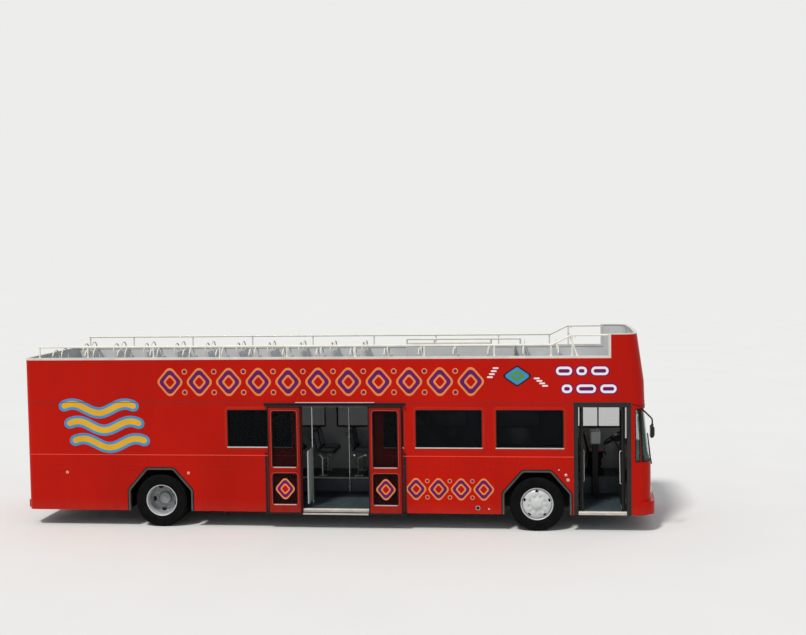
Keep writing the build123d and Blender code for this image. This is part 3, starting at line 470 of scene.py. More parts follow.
side_glass = finish("side_glass", (0.002, 0.003, 0.004), rough=0.03, specular=0.05, alpha=0.77,
                    mottle=0.2, mottle_scale=0.7, grain_depth=0.0)
door_glass = finish("door_glass", (0.002, 0.003, 0.004), rough=0.03, specular=0.06, alpha=0.55,
                    mottle=0.2, grain_depth=0.0)
clear_glass = finish("clear_glass", (0.10, 0.19, 0.16), rough=0.03, specular=0.2, alpha=0.25, mottle=0.1,
                     grain_depth=0.0)
screen_glass = finish("screen_glass", (0.085, 0.18, 0.15), rough=0.03, specular=0.3, alpha=0.26,
                      mottle=0.1, mottle_scale=1.6, grain_depth=0.0)
shell_grey = finish("seat_shell", (0.50, 0.53, 0.55), rough=0.42, mottle=0.07, mottle_scale=6,
                    grain_scale=240, grain_depth=0.0004)
shell_dark = finish("lower_shell", (0.02, 0.024, 0.035), rough=0.45, mottle=0.12, grain_scale=240)
moquette = finish("moquette", (0.03, 0.045, 0.10), rough=0.9, sheen=0.5, grain="weave", grain_scale=110,
                  grain_depth=0.0012, mottle=0.45, mottle_scale=38)
driver_cloth = finish("driver_cloth", (0.30, 0.05, 0.035), rough=0.85, sheen=0.4, grain="weave",
                      grain_scale=140, grain_depth=0.001, mottle=0.2, mottle_scale=20)
lamp_clear = finish("lamp_clear", (0.62, 0.63, 0.62), rough=0.08, coat=0.6, alpha=0.75, mottle=0.1,
                    grain="Z", grain_scale=60, grain_depth=0.001)
lamp_red = finish("lamp_red", (0.42, 0.008, 0.006), rough=0.15, coat=0.6, mottle=0.1, grain="studs",
                  grain_scale=110, grain_depth=0.001)
lamp_amber = finish("lamp_amber", (0.65, 0.20, 0.01), rough=0.15, coat=0.6, mottle=0.1, grain="studs",
                    grain_scale=110, grain_depth=0.001)
mirror_glass = finish("mirror_glass", (0.72, 0.74, 0.75), rough=0.02, metal=1.0, mottle=0.02,
                      grain_depth=0.0)
white_plate = finish("white_plate", (0.62, 0.62, 0.58), rough=0.4, mottle=0.05)
purple = ink("purple", (0.115, 0.006, 0.105), 0.08)
orange = ink("orange", (0.70, 0.225, 0.055), 0.07)
yellow = ink("yellow", (0.66, 0.36, 0.02))
blue = ink("blue", (0.045, 0.25, 0.50))
green = ink("green", (0.10, 0.27, 0.03))
white_print = ink("white", (0.80, 0.72, 0.74), 0.04)
print_dark = ink("dark", (0.03, 0.006, 0.008), 0.1)
print_ground = finish("print_red", (0.415, 0.0055, 0.0008), rough=0.3, specular=0.06, coat=0.06,
                      mottle=0.06)


def outwards(place, way):
    """How squarely a face of the nose looks out of the cab, from -1 to 1."""
    return way.dot(Vector((place.x - entry_x0, place.y, 0)).normalized())


def dress(look, *nodes):
    """Gives CAD nodes a finish."""
    for node in nodes:
        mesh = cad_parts[node].data
        if not mesh.materials:
            mesh.materials.append(look)
        for index in range(len(mesh.materials)):
            mesh.materials[index] = look


def dress_where(look, node, chosen):
    """Gives another finish to a CAD node's faces whose middle and direction pass a test."""
    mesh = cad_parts[node].data
    mesh.materials.append(look)
    for face in mesh.polygons:
        if chosen(face.center, face.normal):
            face.material_index = len(mesh.materials) - 1


grey_pole_x = front_x - 4.245

dress(red, "lower_wall_right_rear", "centre_door_header", "lower_wall_right_middle", "lower_wall_left",
      "rear_wall", "engine_door", "front_panel", "windscreen_surround", "front_cowl", "upper_side_panels",
      "upper_rear_panel", "bumpers")
dress(leaf_red, "centre_leaf_rear", "centre_leaf_front")
for node in ("front_panel", "windscreen_surround", "front_cowl"):
    dress_where(cabin_dark, node, lambda place, way: outwards(place, way) < -0.3)
dress_where(rubber, "windscreen_surround",
            lambda place, way: way.x > 0.999 or abs(outwards(place, way)) < 0.3)
for node in ("lower_wall_left", "lower_wall_right_rear", "lower_wall_right_middle"):
    dress_where(cabin_grey, node, lambda place, way: way.y * place.y < -1.0 and place.z > skirt_z + 0.05)
dress(grey_lining, "deck_lining")
dress(grey_cap, "parapet_cap")
dress(floor_vinyl, "upper_floor", "lower_floor", "stairs")
dress(cabin_dark, "rear_bulkhead", "dashboard")
dress_where(rubber, "rear_bulkhead", lambda place, way: abs(way.x) < 0.5)
dress(rubber, "wheel_housings")
dress(side_glass, "side_windows")
dress(door_glass, "entry_leaf_rear_glass", "entry_leaf_front_glass", "centre_leaf_rear_glass",
      "centre_leaf_front_glass")
dress(screen_glass, "windscreen")
dress(cream, "side_rails", "rail_posts")
dress(grey_lining, "stair_guard")
dress_where(cream, "stair_guard", lambda place, way: place.z > 3.26)
dress_where(clear_glass, "side_windows", lambda place, way: place.x > entry_frame_x0)
dress(steel, "grab_poles")
dress_where(cabin_grey, "grab_poles",
            lambda place, way: place.y < -0.8 and abs(place.x - grey_pole_x) < 0.014)
dress(black, "centre_door_rails", "entry_leaf_rear", "entry_leaf_front", "fare_box")
dress(frame_grey, "entry_door_frame")
dress(dark_metal, "chassis_rails", "front_axle", "rear_axle", "engine", "knuckle_right", "knuckle_left")


# Body side

def side_runs(side):
    """The stretches of plain wall below the windows, as (start x, end x)."""
    if side < 0:
        return [(rear_wrap_x, centre_x0 - 0.004), (centre_x1 + 0.004, entry_frame_x0)]
    return [(rear_wrap_x, entry_frame_x1)]


def half_round(height, proud):
    """The section of a bead, as (away, proud)."""
    return [(-height / 2, -0.001), (-height * 0.38, proud * 0.7), (0, proud),
            (height * 0.38, proud * 0.7), (height / 2, -0.001)]


def body_mouldings():
    """The belt bead, in a lighter red as a painted highlight, the crease below it and the seam between the
    decks.
    """
    shape = Shape()
    for side in sides:
        for x0, x1 in side_runs(side):
            shape.look = 0
            shape.moulding([(x0, belt_z), (x1, belt_z)], half_round(0.022, 0.009), wall_y, side)
            shape.look = 1
            shape.moulding([(x0, crease_z), (x1, crease_z)], half_round(0.009, 0.004), wall_y, side)
        shape.look = 2
        seam = [(rear_wrap_x, seam_z), (entry_frame_x1, seam_z)]
        shape.moulding(seam, half_round(0.012, 0.003), wall_y, side)
    shape.piece("body_mouldings", "body", [red_bead_painted_highlight, red_trim, joint_line])


# Upright joints between panels: x from the front axle, lowest and highest level
lower_joints = [(-7.95, skirt_z, belt_z), (-6.20, skirt_z, belt_z), (-0.70, skirt_z, belt_z),
                (-5.83, belt_z, joint_top_z), (-4.46, belt_z, joint_top_z), (-0.86, belt_z, joint_top_z),
                (0.56, belt_z, joint_top_z)]
upper_joints = [-8.30, -5.90, -3.50, -1.10, 1.50]


def panel_joints():
    """Upright joints between the side panels of both decks."""
    shape = Shape()
    profile = half_round(0.004, 0.0012)
    for side in sides:
        for x, z0, z1 in lower_joints:
            shape.moulding([(front_x + x, z0), (front_x + x, z1)], profile, wall_y, side)
        for x in upper_joints:
            shape.moulding([(front_x + x, deck_z + 0.004), (front_x + x, coaming_z)], profile, wall_y, side)
    shape.piece("panel_joints", "body", joint_line)


# Sections of the strips round a side window, as (away from its edge, proud of the wall)
seal_section = [(-0.014, -0.027), (-0.014, 0.001), (0.003, 0.003), (0.003, -0.001), (-0.012, -0.001),
                (-0.012, -0.027)]
surround_section = [(0.002, -0.001), (0.002, 0.008), (0.010, 0.009), (0.013, 0.004), (0.048, 0.003),
                    (0.053, -0.001)]
inner_section = [(-0.012, 0.0), (-0.012, -0.012), (0.012, -0.012), (0.012, 0.0)]
driver_pane_bar_x = front_x + 1.240


def side_windows():
    """Rubber seal, raised surround and bright sill of each side window, and the driver's pane's bar."""
    trim = Shape()
    for low, high in boxes_of("side_windows"):
        side = -1 if low.y < 0 else 1
        path = rounded_box(low.x, high.x, low.z, high.z, 0.022, 4)
        trim.look = 0
        trim.moulding(path, seal_section, wall_y, side, True)
        trim.look = 2
        trim.moulding(path, surround_section, wall_y, side, True)
        y0, y1 = sorted((side * (wall_y - 0.026), side * (wall_y + 0.013)))
        trim.boxes(1, 0.003, (low.x - 0.01, high.x + 0.01, y0, y1, low.z - 0.016, low.z + 0.004))
        if low.x > entry_frame_x0:
            trim.boxes(0, 0.002, (driver_pane_bar_x - 0.014, driver_pane_bar_x + 0.014, wall_y - 0.045,
                                  wall_y - 0.018, low.z, high.z))
        trim.look = 0
        trim.moulding(path, inner_section, inner_y - 0.004, side, True)
    trim.piece("window_trim", "body", [rubber, aluminium, red_trim])


# Sections of an arch's grey band and of the rubber lip outside it
band_section = [(-0.006, -0.055), (-0.006, 0.010), (0.004, 0.016), (0.022, 0.014), (0.030, 0.004),
                (0.030, -0.001), (0.0, -0.001), (0.0, -0.055)]
lip_section = [(0.029, -0.001), (0.030, 0.008), (0.040, 0.009), (0.048, -0.001)]


def wheel_arches():
    """A grey band round each arch with a dark rubber lip outside it."""
    shape = Shape()
    for side in sides:
        for axle in (front_x, rear_x):
            corners = [(axle - arch_half, skirt_z), (axle - arch_half, arch_shoulder_z),
                       (axle - arch_flat, arch_top_z), (axle + arch_flat, arch_top_z),
                       (axle + arch_half, arch_shoulder_z), (axle + arch_half, skirt_z)]
            path = rounded(corners, 0.09, False, 6)
            for look, section in enumerate((band_section, lip_section)):
                shape.look = look
                shape.moulding(path, section, wall_y, side)
    shape.piece("wheel_arch_trim", "body", [arch_grey, rubber])


# Small round fittings on the lower side: x from the front axle, level, radius, look
side_fittings = [(0.527, 1.051, 0.020, 0), (0.563, 0.960, 0.024, 0), (0.402, 1.142, 0.012, 0),
                 (-6.524, 1.037, 0.022, 1), (-1.077, 0.428, 0.034, 2), (-0.875, 0.411, 0.013, 0),
                 (-8.90, 1.037, 0.022, 1)]


def fittings():
    """Plain round lamps and caps, each with a bright ring and a domed middle."""
    shape = Shape()
    for side in sides:
        for x, z, radius, look in side_fittings:
            centre = (front_x + x, side * wall_y, z)
            shape.look = 3
            shape.lathe(centre, [(-0.001, radius * 1.25), (0.004, radius * 1.2), (0.005, radius)], side, 20)
            shape.look = look
            shape.lathe(centre, [(0.003, radius), (0.010, radius * 0.9), (0.013, radius * 0.5), (0.014, 0.0)],
                        side, 20)
    shape.piece("side_fittings", "body", [lamp_clear, lamp_amber, black, chrome])


def interval_boxes(shape, x0, x1, z0, z1, holes, y0, y1):
    """A thin wall plate with rectangular holes, as upright strips."""
    cuts = sorted({x0, x1, *[x for hole in holes for x in hole[:2] if x0 < x < x1]})
    for left, right in zip(cuts, cuts[1:]):
        centre = (left + right) / 2
        taken = sorted((low, high) for a, b, low, high in holes if a < centre < b)
        level = z0
        for low, high in taken + [(z1, z1)]:
            if low > level + 0.001:
                shape.box(left, right, y0, y1, level, min(low, z1), 0.0)
            level = max(level, high)


lining_gauge = 0.004


def cabin_linings():
    """Pale inner faces of the lower deck's walls and its ceiling."""
    shape = Shape()
    housing_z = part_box("wheel_housings")[1].z + 0.001
    for side in sides:
        holes = [(low.x - 0.002, high.x + 0.002, low.z - 0.002, high.z + 0.002)
                 for low, high in boxes_of("side_windows") if low.y * side > 0]
        holes += [(front_x - 0.662, front_x + 0.662, 0, housing_z)]
        if side < 0:
            holes.append((centre_x0 - 0.01, centre_x1 + 0.01, 0, centre_top_z))
        x1 = entry_frame_x0 if side < 0 else entry_frame_x1 - 0.02
        y0, y1 = sorted((side * (inner_y - lining_gauge), side * inner_y))
        interval_boxes(shape, bulkhead_x, x1, floor_z + 0.002, ceiling_z, holes, y0, y1)
    stair_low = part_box("stairs")[0]
    split_y = stair_low.y - 0.01
    x1 = entry_frame_x1 - 0.05
    levels = (ceiling_z - lining_gauge, ceiling_z)
    shape.boxes(0, 0.0,
                (bulkhead_x, x1, -inner_y + 0.01, split_y, *levels),
                (bulkhead_x, stair_low.x - 0.02, split_y, inner_y - 0.01, *levels),
                (front_x - 0.44, x1, split_y, inner_y - 0.01, *levels))
    shape.piece("cabin_linings", "body", cabin_grey)


body_mouldings()
panel_joints()
side_windows()
wheel_arches()
fittings()
cabin_linings()


# Doors

def door_surrounds():
    """Black linings round the doorways, bright step edges and the drip strip over the centre door."""
    shape = Shape()
    for x0, x1, top, wide in ((centre_x0, centre_x1, centre_top_z, 0.004),
                              (entry_x0, entry_x1, entry_top_z, 0.003)):
        y0, y1 = -wall_y - 0.002, -inner_y + 0.004
        shape.boxes(0, 0.001,
                    (x0 - 0.001, x0 + wide, y0, y1, skirt_z, top),
                    (x1 - wide, x1 + 0.001, y0, y1, skirt_z, top),
                    (x0, x1, y0, y1, top - wide, top + 0.001))
        step = (x0 + 0.005, x1 - 0.005)
        shape.boxes(3, 0.004, (*step, -wall_y - 0.009, -inner_y + 0.03, sill_top - 0.012, sill_top + 0.010))
        shape.boxes(1, 0.002, (*step, -wall_y - 0.006, -wall_y, skirt_z + 0.004, sill_top - 0.010))
    low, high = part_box("centre_door_rails")
    face = -wall_y
    shape.boxes(1, 0.001, (centre_x0 + 0.01, centre_x1 - 0.01, low.y - 0.003, low.y, low.z - 0.004,
                           low.z + 0.029))
    shape.boxes(2, 0.003, (centre_x0 - 0.11, centre_x1 + 0.13, face - 0.032, face, drip_z - 0.007,
                           drip_z + 0.007))
    shape.boxes(0, 0.002, (low.x - 0.02, high.x + 0.02, face - 0.010, face, high.z + 0.001,
                           drip_z - 0.015))
    # Black strips on the wall beside the centre leaves, up to just above the belt: partly a seal strip,
    # partly painted shadow of the leaves' edges.
    for x in (low.x - 0.012, high.x - 0.033):
        shape.boxes(0, 0.001, (x, x + 0.045, face - 0.003, face, low.z + 0.03, belt_z + 0.06))
    shape.piece("door_surrounds", "body", [black, step_metal, aluminium, nosing])


def centre_leaf_trim(name):
    """Seals round a sliding leaf and its two panes, rings in a lighter red as a painted highlight, and sill
    strips.
    """
    shape = Shape()
    low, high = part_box(name)
    z0 = skirt_z + 0.006
    z1 = high.z - 0.026
    face = -low.y
    depth = high.y - low.y
    seal = [(-0.010, -depth * 0.45), (-0.010, 0.002), (0.006, 0.004), (0.010, 0.0), (0.0, -depth * 0.45)]
    ring = [(0.010, -0.001), (0.013, 0.003), (0.020, 0.003), (0.022, -0.001)]
    inner_seal = [(-0.010, 0.0), (-0.010, -0.006), (0.010, -0.006), (0.010, 0.0)]
    lap = (-0.004, 0.001) if name.endswith("rear") else (-0.001, 0.004)
    shape.boxes(0, 0.002,
                (low.x + lap[0], low.x + 0.020, low.y - 0.002, high.y + 0.001, z0, z1),
                (high.x - 0.020, high.x + lap[1], low.y - 0.002, high.y + 0.001, z0, z1))
    shape.boxes(0, 0.001, (low.x, high.x, low.y - 0.002, low.y + 0.003, z1 - 0.022, z1))
    for pane_low, pane_high in boxes_of(name + "_glass"):
        path = rounded_box(pane_low.x, pane_high.x, pane_low.z, pane_high.z, 0.04)
        shape.moulding(path, seal, face, -1, True)
        # The ring round each pane is in the lighter red of a painted highlight.
        shape.look = 2
        shape.moulding(path, ring, face, -1, True)
        shape.boxes(1, 0.002, (pane_low.x + 0.02, pane_high.x - 0.02, low.y - 0.005, low.y + 0.012,
                               pane_low.z - 0.008, pane_low.z + 0.006))
        shape.look = 0
        shape.moulding(path, inner_seal, face - depth - 0.002, -1, True)
    shape.piece(name + "_trim", name, [rubber, aluminium, red_bead_painted_highlight])


handle_low_z = 0.88
handle_high_z = 1.46
handle_length = handle_high_z - handle_low_z


def entry_leaf_trim(name, side_x, foot_y, head_y):
    """Seals on a folding leaf's edges and round its pane, a sill strip and a bent handle."""
    shape = Shape()
    low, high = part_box(name + "_glass")
    leaf_low, leaf_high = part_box(name)
    middle_x = (low.x + high.x) / 2
    for y in (low.y - 0.045, high.y + 0.030):
        shape.boxes(0, 0.004, (middle_x - 0.020, middle_x + 0.020, y, y + 0.016, leaf_low.z + 0.03,
                               leaf_high.z - 0.02))
    for shift in (-0.014, 0.014):
        outline = rounded_box(low.y, high.y, low.z, high.z, 0.05)
        shape.rod([(middle_x + shift, y, z) for y, z in outline], 0.006, 8, True)
    shape.boxes(1, 0.002, (middle_x - 0.0185, middle_x + 0.0185, low.y, high.y, low.z - 0.075, low.z - 0.045))
    inward = middle_x - side_x * 0.018
    out = middle_x - side_x * 0.040
    corners = [(inward, handle_low_z), (out, handle_low_z), (out, handle_high_z), (inward, handle_high_z)]
    path = []
    for x, z in rounded(corners, 0.02, closed=False):
        share = min(1, max(0, (z - handle_low_z) / handle_length))
        path.append((x, foot_y + (head_y - foot_y) * share, z))
    shape.rod(path, 0.009, 12)
    shape.piece(name + "_trim", name, [rubber, aluminium])


door_surrounds()
centre_leaf_trim("centre_leaf_rear")
centre_leaf_trim("centre_leaf_front")
entry_leaf_trim("entry_leaf_rear", -1, -1.02, -1.02)
entry_leaf_trim("entry_leaf_front", 1, -1.20, -1.11)


# Printed livery, a plain design of its own: friezes, ribbons and pills

def diamond(x, z, half_width, half_height, radius):
    corners = [(x - half_width, z), (x, z + half_height), (x + half_width, z), (x, z - half_height)]
    return rounded(corners, radius, steps=6)


# How far each printed film stands proud of the wall
films = (0.0008, 0.0014, 0.0020, 0.0026)


def layered(shape, wall, side, layers):
    """Printed films over one another on a wall, each as (look, outline)."""
    for (look, outline), proud in zip(layers, films):
        shape.look = look
        shape.slab(outline, wall, side, proud)


def ring_diamond(shape, x, z, size, wall, side):
    """A purple diamond ring with orange edges; the looks are orange, purple and red."""
    layered(shape, wall, side,
            [(look, diamond(x, z, size * share * 0.86, size * share, size * share * 0.30))
             for look, share in ((0, 1.0), (1, 0.83), (0, 0.50), (2, 0.33))])


def disc_outline(x, z, radius):
    return [(x - radius * math.cos(turn), z + radius * math.sin(turn)) for turn in turns(20)]


def dot(shape, x, z, size, wall, side):
    """An orange dot with a purple middle."""
    layered(shape, wall, side, [(0, disc_outline(x, z, size)), (1, disc_outline(x, z, size * 0.62))])


def frieze(shape, x0, x1, z, size, count, wall, side):
    """Ring diamonds at one pitch with a pair of dots between neighbours."""
    pitch = (x1 - x0) / count
    for index in range(count):
        x = x0 + pitch * (index + 0.5)
        ring_diamond(shape, x, z, size, wall, side)
        if index + 1 < count:
            for lift in (-0.62, 0.62):
                dot(shape, x + pitch / 2, z + size * lift, size * 0.17, wall, side)


def ribbon(shape, x0, z, side, proud, look, inset=0.0):
    """A wavy band of three half waves with round ends; an inset makes it narrower and shorter."""
    steps = 90
    rows = []
    x1 = x0 + ribbon_length
    start, end = x0 + inset, x1 - inset
    half = ribbon_width / 2 - inset
    shape.look = look
    for step in range(steps + 1):
        x = start + (end - start) * (1 - math.cos(math.pi * step / steps)) / 2
        phase = (x - x0) / (x1 - x0) * 3 * math.pi
        level = z + ribbon_rise * math.sin(phase)
        slope = ribbon_rise * math.cos(phase) * 3 * math.pi / (x1 - x0)
        length = math.hypot(1, slope)
        near = min(x - start, end - x) / half
        size = half * math.sqrt(max(0.0, 1 - (1 - min(near, 1)) ** 2)) + 0.0005
        top = (x - slope / length * size, level + size / length)
        foot = (x + slope / length * size, level - size / length)
        rows.append([(top[0], side * wall_y, top[1]), (top[0], side * (wall_y + proud), top[1]),
                     (foot[0], side * (wall_y + proud), foot[1]), (foot[0], side * wall_y, foot[1])])
    shape.grid(rows, caps=True)


frieze_colours = [orange, purple, print_ground]
title_z = 2.760
lower_row_z = 0.770
ribbon_length = 1.55
ribbon_width = 0.21
ribbon_rise = 0.085
patch_x = front_x - 0.34
patch_z = 2.86
pill_half = 0.078
pill_gap = 0.075


def title_frieze(side, word):
    """The row of ring diamonds on the upper side."""
    shape = Shape()
    frieze(shape, front_x - 7.12, front_x - 0.90, title_z, 0.315, 11, wall_y, side)
    shape.piece("livery_title_" + word, "body", frieze_colours)


def lower_frieze(side, word):
    """The row below the windows. It is longer on the driver's side, which has no centre door."""
    shape = Shape()
    start, count = (-2.42, 4) if side < 0 else (-4.90, 10)
    frieze(shape, front_x + start, front_x - 0.76, lower_row_z, 0.245, count, wall_y, side)
    shape.piece("livery_lower_" + word, "body", frieze_colours)


def ribbons(side, word):
    """Three wavy blue bands with yellow middles, behind the rear axle."""
    shape = Shape()
    for index in range(3):
        x0 = front_x - 9.02 + index * 0.10
        z = 2.26 - index * 0.33
        ribbon(shape, x0, z, side, films[0], 0)
        ribbon(shape, x0, z, side, films[1], 1, 0.05)
    shape.piece("livery_ribbons_" + word, "body", [blue, yellow])


def patch(side, word):
    """A blue and green diamond with two columns of pale dashes."""
    shape = Shape()
    x, z = patch_x, patch_z
    layered(shape, wall_y, side, [(look, diamond(x, z, 0.29 * share, 0.20 * share, 0.05 * share))
                                  for look, share in ((3, 1.0), (0, 0.84), (1, 0.50), (0, 0.22))])
    shape.look = 2
    for index in range(4):
        for dash_x, dash_z in ((x - 0.44 - index * 0.035, z + 0.13 - index * 0.055),
                               (x + 0.30 + index * 0.05, z - 0.06 - index * 0.045)):
            dash = rounded_box(dash_x, dash_x + 0.105, dash_z, dash_z + 0.030, 0.014, 3)
            shape.slab(dash, wall_y, side, 0.0012)
    shape.piece("livery_patch_" + word, "body", [blue, green, white_print, print_dark])


# Rows of pills: start from the front axle, level, and the pills' lengths
pill_rows = [(0.36, 2.95, (0.29, 0.19, 0.31)), (0.46, 2.625, (0.19, 0.35, 0.29))]


def pills(side, word):
    """Rows of purple pills with pale edges and middles."""
    shape = Shape()
    for start, z, lengths in pill_rows:
        x = front_x + start
        for length in lengths:
            layers = []
            for look, grow, radius in ((1, 0.022, 0.098), (0, 0.0, 0.076), (1, -0.045, 0.030)):
                half = pill_half + grow
                layers.append((look, rounded_box(x - grow, x + length + grow, z - half, z + half, radius)))
            layered(shape, wall_y, side, layers)
            x += length + pill_gap
    shape.piece("livery_pills_" + word, "body", [white_print, purple])


def leaf_ring(name):
    """One ring diamond on the lower pane of a sliding leaf."""
    shape = Shape()
    low, high = min(boxes_of(name + "_glass"), key=lambda pair: pair[0].z)
    ring_diamond(shape, (low.x + high.x) / 2, (low.z + high.z) / 2, 0.235, -low.y, -1)
    shape.piece("livery_" + name, name, frieze_colours)


def livery():
    for side, word in sides.items():
        for part in (title_frieze, lower_frieze, ribbons, patch, pills):
            part(side, word)
    for name in ("centre_leaf_rear", "centre_leaf_front"):
        leaf_ring(name)


livery()


# Wheels

# Outlines of a tyre and its rim, as (y from the middle, radius)
tyre_profile = [
    (0.118, 0.2990), (0.131, 0.306), (0.137, 0.325), (0.141, 0.345), (0.1425, 0.350), (0.1445, 0.352),
    (0.147, 0.385), (0.1475, 0.405), (0.146, 0.430), (0.1435, 0.450), (0.1450, 0.4525), (0.1440, 0.456),
    (0.140, 0.470), (0.134, 0.486), (0.122, 0.4965), (0.086, 0.4985),
    (0.083, 0.486), (0.071, 0.486), (0.068, 0.4992), (0.034, 0.4998), (0.031, 0.487), (0.019, 0.487),
    (0.016, 0.500),
]
groove_waver = 0.0035
groove_radius = 0.48
tread_half = 0.09
shoulder_y = 0.11
shoulder_radius = 0.484
notch_depth = 0.006
tyre_half_width = 0.148
rim_profile = [
    (0.124, 0.2965), (0.121, 0.2982), (0.116, 0.2984), (0.113, 0.294), (0.111, 0.289), (0.070, 0.286),
    (-0.070, 0.286), (-0.111, 0.289), (-0.113, 0.294), (-0.116, 0.2984), (-0.121, 0.2982), (-0.124, 0.2965),
    (-0.124, 0.288), (-0.118, 0.281), (-0.084, 0.277), (0.084, 0.277), (0.118, 0.281), (0.124, 0.288),
]
nut_circle = 0.1675


def tyre(shape, centre):
    """A tyre with wavy grooves in its tread and notches in its shoulders."""
    loop = tyre_profile + [(-y, radius) for y, radius in reversed(tyre_profile)]
    rows = []
    for step, turn in enumerate(turns(144)):
        waver = groove_waver * (1 if step % 4 < 2 else -1)
        row = []
        for y, radius in loop:
            shift = waver if abs(y) < tread_half and radius > groove_radius else 0
            if abs(y) > shoulder_y and radius > shoulder_radius and step % 4 == 0:
                radius -= notch_depth
            row.append((centre[0] + radius * math.sin(turn), centre[1] + y + shift,
                        centre[2] + radius * math.cos(turn)))
        rows.append(row)
    shape.grid(rows, wrap_rows=True)


def hex_nut(shape, place, out, size, height):
    """A nut about the y axis, with its outer end chamfered."""
    x, y, z = place
    shape.grid([[(x + size * share * math.cos(turn), y + out * lift, z + size * share * math.sin(turn))
                 for turn in turns(6)]
                for lift, share in ((-0.004, 1.0), (height * 0.75, 1.0), (height, 0.72))], caps=True)


def ring_of_nuts(shape, centre, side, lift, size, height, count=10, circle=nut_circle, shift=0.5):
    """Nuts on a circle about an axle, standing outwards by their lift."""
    for turn in turns(count, shift):
        place = (centre.x + circle * math.sin(turn), centre.y + side * lift,
                 centre.z + circle * math.cos(turn))
        hex_nut(shape, place, side, size, height)


def baked(made):
    """Applies an object's modifiers and returns its new mesh."""
    bpy.context.view_layer.update()
    mesh = bpy.data.meshes.new_from_object(made.evaluated_get(bpy.context.evaluated_depsgraph_get()))
    made.modifiers.clear()
    made.data = mesh
    return mesh


def cut_holes(disc, centre, circle, radius, stretch, first):
    """Cuts five oval hand holes through a wheel disc with a boolean, and applies it."""
    cutter = Shape()
    for step in turns(5):
        turn = first + step
        around = Vector((math.cos(turn), 0, -math.sin(turn)))
        away = Vector((math.sin(turn), 0, math.cos(turn)))
        middle = centre + away * circle
        ring = [middle + around * radius * stretch * math.cos(a) + away * radius * math.sin(a)
                for a in turns(20)]
        cutter.grid([[point + Vector((0, shift, 0)) for point in ring] for shift in (-0.4, 0.4)], caps=True)
    tool = cutter.piece("hole_cutter", "body", wheel_silver)
    change = disc.modifiers.new("Holes", "BOOLEAN")
    change.operation = "DIFFERENCE"
    change.solver = "EXACT"
    change.object = tool
    baked(disc).set_sharp_from_angle(angle=math.radians(35))
    bpy.data.objects.remove(tool)


def tyres(name, body, node, centres):
    shape = Shape()
    for centre in centres:
        tyre(shape, centre)
    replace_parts(shape.piece(name, body, tyre_black, 28), node)


def petals(radius, turn):
    """The shallow pressings between a front disc's nuts."""
    share = max(0.0, 1 - abs(radius - 0.150) / 0.045)
    return -0.010 * share * (0.5 + 0.5 * math.cos(10 * turn))


# Wheel discs, drums and a hub, as (outwards from the wheel's middle, radius)
front_face = [
    (0.060, 0.2775), (0.078, 0.272), (0.097, 0.258), (0.112, 0.238), (0.121, 0.215), (0.1255, 0.192),
    (0.127, 0.175), (0.127, 0.160), (0.127, 0.150), (0.127, 0.140), (0.127, 0.125), (0.128, 0.110),
    (0.131, 0.100), (0.141, 0.094), (0.146, 0.088), (0.148, 0.070), (0.154, 0.062), (0.1575, 0.050),
    (0.158, 0.0),
]
front_drum = [
    (0.05, 0.0), (0.05, 0.085), (-0.010, 0.092), (-0.012, 0.215), (-0.034, 0.215), (-0.036, 0.085),
    (-0.038, 0.080), (-0.038, 0.041), (0.02, 0.041), (0.02, 0.0),
]
rear_dish = [(0.10, 0.272), (0.05, 0.262), (0.022, 0.245), (0.006, 0.222), (0.0, 0.200), (0.0, 0.112)]
rear_hub = [
    (-0.02, 0.135), (0.012, 0.135), (0.018, 0.125), (0.020, 0.116), (0.080, 0.112), (0.094, 0.106),
    (0.100, 0.096), (0.100, 0.060), (0.104, 0.056), (0.106, 0.0),
]
rear_drum = [(-0.02, 0.0615), (-0.02, 0.19), (-0.11, 0.20), (-0.12, 0.19), (-0.12, 0.0615)]


def front_wheel(side, word):
    body = "front_wheel_" + word
    centre = Vector((front_x, side * front_wheel_y, tyre_radius))
    tyres("tyre_front_" + word, body, "front_tyre_" + word, [centre])

    back = [(along - 0.011, max(radius - 0.004, 0)) for along, radius in front_face if radius > 0.098]
    outline = front_face + [(0.03, 0.0), (0.03, 0.09)] + list(reversed(back))
    disc = Shape()
    disc.lathe(centre, outline, side, 120, wave=petals, closed=True)
    made = disc.piece("wheel_disc_front_" + word, body, wheel_silver, 40)
    cut_holes(made, centre, 0.236, 0.021, 1.55, 0.0)

    shape = Shape()
    shape.lathe(centre, rim_profile, side, 96, closed=True)
    ring_of_nuts(shape, centre, side, 0.126, 0.017, 0.018)
    shape.look = 1
    shape.lathe(centre, front_drum, side, 48)
    made = shape.piece("wheel_rim_front_" + word, body, [wheel_silver, dark_metal], 40)
    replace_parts(made, "front_wheel_" + word)


